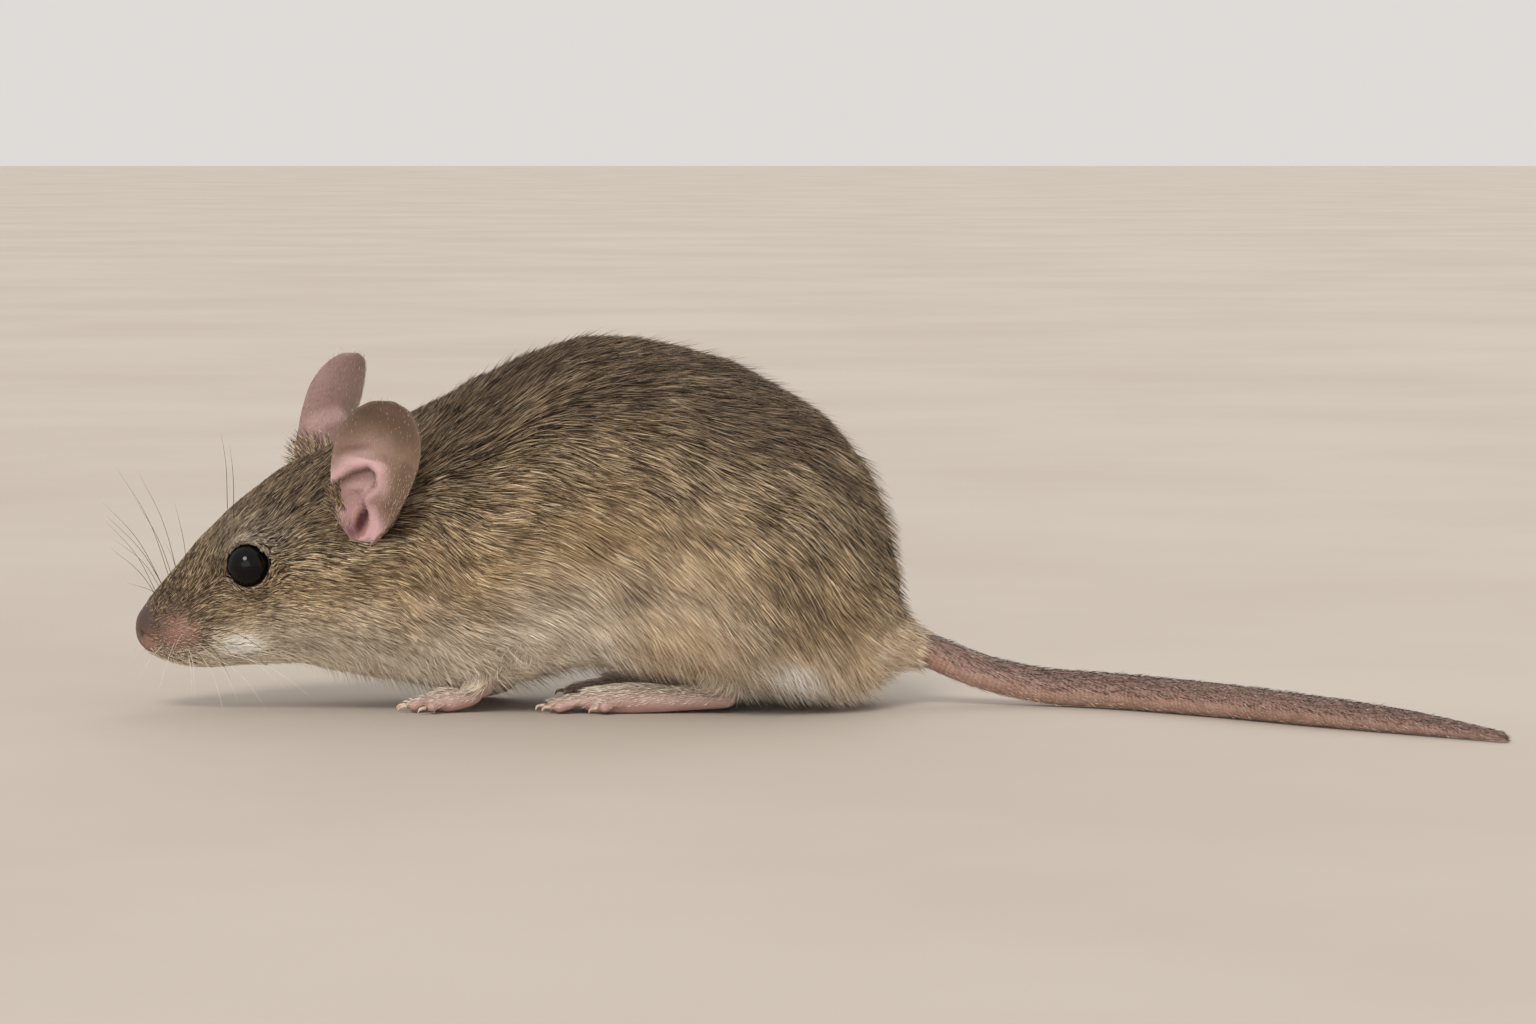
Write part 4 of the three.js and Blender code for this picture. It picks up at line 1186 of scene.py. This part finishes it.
def ear_hairs(ear, obj):
    """Fine down on both walls of an ear, and tufts along the foot of its front edge."""
    hinge, up, front, side = ear_frame(ear)
    rear, near = -ear["side"] * side, ear["side"] < 0

    def down_density(p, n):
        h = (p - hinge) @ up
        return (h > 1.0) * np.where(n @ front < 0, 5.0, np.where((h > 3.4) & (h < 6.2), 7.0, 4.0))

    def tuft_density(p, n):
        h = (p - hinge) @ up
        edge = (p - hinge) @ rear / np.interp(h, EAR_STATIONS[:, 0], EAR_STATIONS[:, 1])
        outside = (edge < -0.6) & (h > 0.2) & (n @ rear < -0.3) & (n @ front < 0.2)
        rim = (edge < -0.84) & (h > 0.6) & (n @ front > 0.2) & near
        return 34.0 * outside * (1 - smooth(h, 3.0, 5.0)) + 90.0 * rim * (1 - smooth(h, 2.6, 5.4))

    p, n = points_on(obj, down_density)
    h, s = (p - hinge) @ up, (p - hinge) @ side
    flow = up * 0.9 + side * (0.35 * s / 4)[:, None]
    pale = np.where((n @ front > 0) & (h < 7.5), 1.2, 0.25)
    length = np.where(n @ front < 0, 0.7, 0.5)
    fine = down(p, n, flow, length, 0.024, 0.2, h / 13, s / 9 + 0.5, pale=pale, warm=0.3)
    p, n = points_on(obj, tuft_density)
    h, s = (p - hinge) @ up, (p - hinge) @ side
    flow = up * 0.8 + front * 0.45 - side * (0.4 * ear["side"])
    length = np.interp(h, [0, 2.5, 5], [1.9, 1.4, 0.8])
    tufts = down(p, n, flow, length, 0.06, 0.3, h / 13, s / 9 + 0.5, dark=0.25, warm=0.3)
    tufts.tip += front * 0.3
    return [fine, tufts]


def foot_hairs(obj, strip):
    """Pale hairs on a foot, longer up the leg. strip: the foot's number, for its place on the map."""

    def density(p, n):
        return (n[:, 2] > -0.35) * np.interp(p[:, 2], [1.0, 1.8, 2.6, 5.0, 8.0], [12, 32, 70, 60, 46])

    p, n = points_on(obj, density)
    z = p[:, 2]
    flow = np.stack([-1 + 0 * z, 0 * z, -0.15 - 0.9 * smooth(z, 1.5, 4.0)], -1)
    flow += smooth(z, 3.0, 5.0)[:, None] * (0.6, 0, 0)
    length = np.interp(z, [0.5, 1.4, 2.4, 5.0, 8.0], [0.65, 0.85, 1.7, 2.6, 3.2])
    return down(p, n, flow, length, np.interp(z, [0.5, 2.0, 5.0], [0.035, 0.05, 0.12]), 0.3,
                (p[:, 0] + 32) / 36, 0.25 * strip + z / 40, pale=np.interp(z, [3.0, 6.0], [1.0, 0.75]))


def tail_hairs(obj):
    """Short hairs lying back along the tail, one in twenty of them standing up."""

    def density(p, n):
        return np.interp(p[:, 0], [12, 18, 24, 60], [8, 20, 32, 30]) * np.where(n[:, 2] > 0.0, 1.0, 0.3)

    p, n = points_on(obj, density)
    row = tail_rows(p)
    share, standing = TAIL_SHARE[row], rng.uniform(0, 1, len(p)) < 0.05
    length, lift = np.interp(share, [0, 0.1, 1], [1.3, 1.0, 0.75]), np.where(standing, 0.5, 0.1)[:, None]
    hairs = down(p, n, TAIL_AHEAD[row] - (0, 0, 0.3), length, 0.038, lift,
                 share, np.arctan2(n[:, 2], n[:, 1]) / 6.284 + 0.5,
                 pale=np.where(standing | (n[:, 2] < 0.1), 0.6, 0.0), dark=0.9 * (n[:, 2] > 0.1))
    hairs.chance *= np.where(standing, 1.0, 0.55)
    return hairs


ear_down = merged([hairs for ear, obj in zip(EARS, ear_skins) for hairs in ear_hairs(ear, obj)])
foot_down = merged([foot_hairs(obj, k) for k, obj in enumerate(feet)])
tail_down = tail_hairs(tail_skin)
in_pieces("ear_down", ear_down)
in_pieces("foot_down", foot_down)
in_pieces("tail_down", tail_down)

# ---- claws and whiskers

claws = dressed(join("claws", claw_parts), HORN)

# root and tip on the right side of the straight head, radius at the root; each is made on both sides
FINE, COARSE, PALE = 0.03, 0.042, 0.028
DARK_WHISKERS = [
    ((-52.3, 2.6, 9.6), (-57.6, 6.0, 17.6), FINE), ((-51.6, 2.9, 9.6), (-56.4, 7.5, 20.0), FINE),
    ((-50.9, 3.2, 9.6), (-53.6, 9.5, 19.6), FINE), ((-52.7, 2.4, 8.6), (-58.0, 6.4, 15.2), FINE),
    ((-51.9, 2.8, 8.2), (-56.8, 12.0, 13.0), FINE), ((-51.0, 3.3, 8.0), (-51.6, 14.0, 12.5), FINE),
    ((-50.0, 3.6, 8.2), (-42.6, 9.6, 8.7), COARSE), ((-50.0, 3.6, 7.6), (-45.2, 9.2, 6.4), COARSE),
    ((-50.3, 3.5, 7.0), (-47.0, 8.8, 5.0), COARSE), ((-49.9, 3.6, 6.6), (-48.0, 8.0, 3.8), COARSE),
    ((-50.4, 3.5, 8.6), (-45.6, 13.5, 12.2), FINE), ((-47.0, 2.6, 17.0), (-47.4, 4.4, 23.4), FINE),
]
PALE_WHISKERS = [
    ((-51.2, 3.0, 7.0), (-53.4, 13.6, 7.0), PALE), ((-52.0, 2.5, 6.4), (-54.6, 8.6, 3.4), PALE),
    ((-51.0, 3.0, 6.0), (-51.8, 11.0, 2.8), PALE), ((-50.0, 3.5, 6.1), (-47.8, 12.0, 2.6), PALE),
    ((-49.3, 3.8, 6.2), (-43.6, 12.4, 3.2), PALE), ((-50.9, 2.8, 5.1), (-50.9, 6.8, 1.8), PALE),
    ((-49.8, 3.2, 5.0), (-48.4, 8.4, 1.4), PALE), ((-49.0, 3.6, 5.2), (-45.4, 9.4, 1.6), PALE),
    ((-48.2, 3.6, 5.4), (-41.4, 9.8, 2.2), PALE), ((-52.9, 2.0, 6.0), (-55.0, 5.2, 3.0), PALE),
]
FOREMOST, LOWEST = -58.0, 0.5  # no whisker ends further forward or lower


def whisker(root, tip, root_radius, side):
    """A long tapered hair from root to tip with a slight curve."""
    bend = np.array([0.02, 0.03 * side, 0.05])
    middle = (root + tip) / 2 + bend * np.linalg.norm(tip - root) + (0, 0, 0.25)
    along = np.linspace(0, 1, 12)
    line = spline([root, middle, tip], along)
    radius = np.interp(along, [0, 0.1, 0.6, 1], [share * root_radius for share in (1, 1, 0.62, 0.12)])
    ahead = norm(np.gradient(line, axis=0))
    across = norm(np.cross(ahead, (0, 0.3, 1.0)))
    return lofted("whisker", rings_round(line, radius, across, np.cross(ahead, across), 6))


def whisker_object(name, plan, material):
    made = []
    for root, tip, radius in plan:
        for side in (-1, 1):
            end = np.array(tip) * (1, side, 1) + rng.normal(0, 0.4, 3) * (1, 1, 0.5)
            start, end = posed(np.array(root) * (1, side, 1)), posed(end)
            end[0], end[2] = max(end[0], FOREMOST), max(end[2], LOWEST)
            made.append(whisker(start, end, radius, side))
    return dressed(join(name, made), material)


dark_whiskers = whisker_object("dark_whiskers", DARK_WHISKERS, DARK_WHISKER)
pale_whiskers = whisker_object("pale_whiskers", PALE_WHISKERS, PALE_WHISKER)

# ---- the skin joined and marked


def head_marks(st):
    """Pink and dark shares of the skin of the head at straight points, the dark with painted shade along the
    lips and in the nostrils.
    """
    x, y, z = st[:, 0], np.abs(st[:, 1]), st[:, 2]
    dist, h, _ = near_eye(st)
    pads = 0.5 * spot(x, z, -51.4, 7.2, 2.4, 2.3) + 0.45 * spot(x, z, -54.2, 5.9, 0.6, 0.6)
    pink = np.maximum(pads, 0.5 * spot(x, z, -48.0, 12.3, 0.4, 0.4) * (y > 3.5))
    shade = np.maximum.reduce([
        0.9 * spot(x, z, -54.4, 8.4, 1.6, 1.7),
        # painted shade along the crease of the lips
        0.35 * near_line(x, z, MOUTH_LINE, 0.1) * (x < -47),
        0.9 * bump((dist - 1.9) ** 2, 0.4) * (h > -1),
        # painted shade inside the nostrils
        at_nostril(st, (0.4, 0.4, 0.45)),
    ])
    return pink, shade


def ear_marks(ear, co, out):
    """Where the skin is this ear's, and its pink, dark and wine red shares: with painted shadow under the
    fold and painted shade in the passage.
    """
    hinge, up, front, side = ear_frame(ear)
    q = co - hinge
    h, s, f = q @ up, (q @ side) * -ear["side"], q @ front
    here = (h > -1.5) & (h < 13.5) & (np.abs(s) < 5.5) & (np.abs(f) < 5.5)
    inner = out @ front > -0.1
    d = hollow_depth(s, h)
    pink = 0.8 * bump((np.minimum(d, 0.5) + 0.4) ** 2, 0.8) * (h < 7.4) + 0.5 * smooth(d, 0.0, 0.5)
    pink += 0.35 * spot(s, h, -1.4, 7.8, 2.6, 1.6) + 0.75 * (1 - smooth(h, 0.8, 4.0)) * (np.abs(s) < 2.4)
    # painted light: the far ear's back is pinker than the near ear's, for light shining through the thin skin
    pink = np.where(inner, pink, 0.5 if ear["side"] > 0 else 0.25)
    # painted shadow along the edge of the hollow, under its fold
    painted_fold_shadow = 0.8 * bump((d - 0.22) ** 2, 0.2) * smooth(h, 4.2, 5.2)
    tip = 0.75 * smooth(h, 8.5, 11.5) + 0.4 * smooth(s, 1.2, 3.0) * (h < 8)
    shade = np.where(inner, np.maximum(painted_fold_shadow, tip), 0.2 * smooth(h, 9.5, 12.0))
    # the passage: wine red skin darkened by painted shade inside the hole
    pit = 1.5 * spot(s, h, *PASSAGE, 0.5, 1.15) * (f > -4) * inner
    return here, *(np.clip(share, 0, 1) for share in (pink, shade, pit))


def mark_skin(mesh):
    """Writes the attributes that colour the skin: pink; shade, dark tones with painted shade in creases and
    hollows; and the ears' wine red passages and the tail's grooves, darkened with painted shade.
    """
    co, out = coordinates(mesh), vectors(mesh.vertex_normals, "vector")
    st = straightened(co)
    pink, shade = head_marks(st)
    ring = np.zeros(len(co))
    for ear in EARS:
        here, *shares = ear_marks(ear, co, out)
        pink, shade, ring = (np.where(here, new, old) for new, old in zip(shares, (pink, shade, ring)))
    toe = (co[:, 2] < 3.0) & (co[:, 0] < 0) & (st[:, 0] > -34)
    pink = np.where(toe, 0.5 * (1 - smooth(co[:, 2], 0.3, 1.2)), pink)
    on_tail = co[:, 0] > 12.0
    row = np.zeros(len(co), int)
    row[on_tail] = tail_rows(co[on_tail])
    above = ((co - TAIL_CENTRE[row]) * TAIL_OVER[row]).sum(1) / np.maximum(TAIL_RADIUS[row], 0.1)
    tail_shade = smooth(above, -0.3, 0.7) * 0.85 + 0.25 * smooth(TAIL_SHARE[row], 0.5, 1.0)
    float_attribute(mesh, "pink", np.clip(pink, 0, 1))
    float_attribute(mesh, "shade", np.clip(np.where(on_tail, tail_shade, shade), 0, 1))
    # painted shade: the tail's grooves between its rings and the ears' passages
    float_attribute(mesh, "ring", np.where(on_tail, TAIL_GROOVE[row], ring))


skin = united(body_skin, lids + ear_skins + feet + [tail_skin])
skin.name = "skin"
mark_skin(skin.data)
skin.data.shade_smooth()

for obj in (skin, *eyes, claws, dark_whiskers, pale_whiskers):
    set_coordinates(obj.data, to_row(coordinates(obj.data)))
    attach(obj, "root")
eye_nodes = ("eye_left", "eye_right")
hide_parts(*[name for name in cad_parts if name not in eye_nodes])
for obj, node in zip(eyes, eye_nodes):
    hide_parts(node)

# ---- floor, light and camera

FLOOR_CORNERS = [(-4, -2, -0.0001), (4, -2, -0.0001), (4, 8, -0.0001), (-4, 8, -0.0001)]
CAMERA_PLACE, CAMERA_TILT_DOWN = (0.0, -455.0, 49.7), 4.13
CAMERA_LENS, SENSOR_WIDTH = 122.34, 36.0
WORLD_COLOUR, WORLD_STRENGTH = rgb(246, 242, 238), 0.8


def floor_material(name):
    m = Nodes(name)
    tone = m.cloudy(rgb(190, 180, 169), rgb(182, 171, 159), 9, 4, 0.3, 0.7)
    return m.finish(Base_Color=tone, Roughness=0.75, Normal=m.bump(m.noise(90, 3), 0.1, 0.0001))


def sun(name, elevation, azimuth, softness, strength, colour):
    """A wide soft light from far off: degrees above the floor, and round from the camera's side."""
    data = bpy.data.lights.new(name, "SUN")
    data.angle, data.energy, data.color = math.radians(softness), strength, colour
    placed(name, data).rotation_euler = (math.radians(90 - elevation), 0, math.radians(azimuth))


floor = dressed(new_object("floor", FLOOR_CORNERS, [(0, 1, 2, 3)]), floor_material("pale_floor"))

world = bpy.data.worlds.new("studio")
bpy.context.scene.world = world
world.use_nodes = True
background = world.node_tree.nodes["Background"]
background.inputs[0].default_value, background.inputs[1].default_value = WORLD_COLOUR, WORLD_STRENGTH
bpy.context.scene.view_settings.view_transform = "Standard"

sun("key", 44, -16, 20, 1.6, (1.0, 0.98, 0.95))
sun("fill", 8, -6, 50, 0.65, (1.0, 0.98, 0.96))
sun("rim", 40, 160, 40, 0.4, (1.0, 0.99, 0.97))

camera_data = bpy.data.cameras.new("camera")
camera_data.lens, camera_data.sensor_width, camera_data.clip_start = CAMERA_LENS, SENSOR_WIDTH, 0.01
camera = placed("camera", camera_data)
camera.location = to_row(CAMERA_PLACE)
camera.rotation_euler = (math.radians(90 - CAMERA_TILT_DOWN), 0, 0)
bpy.context.scene.camera = camera
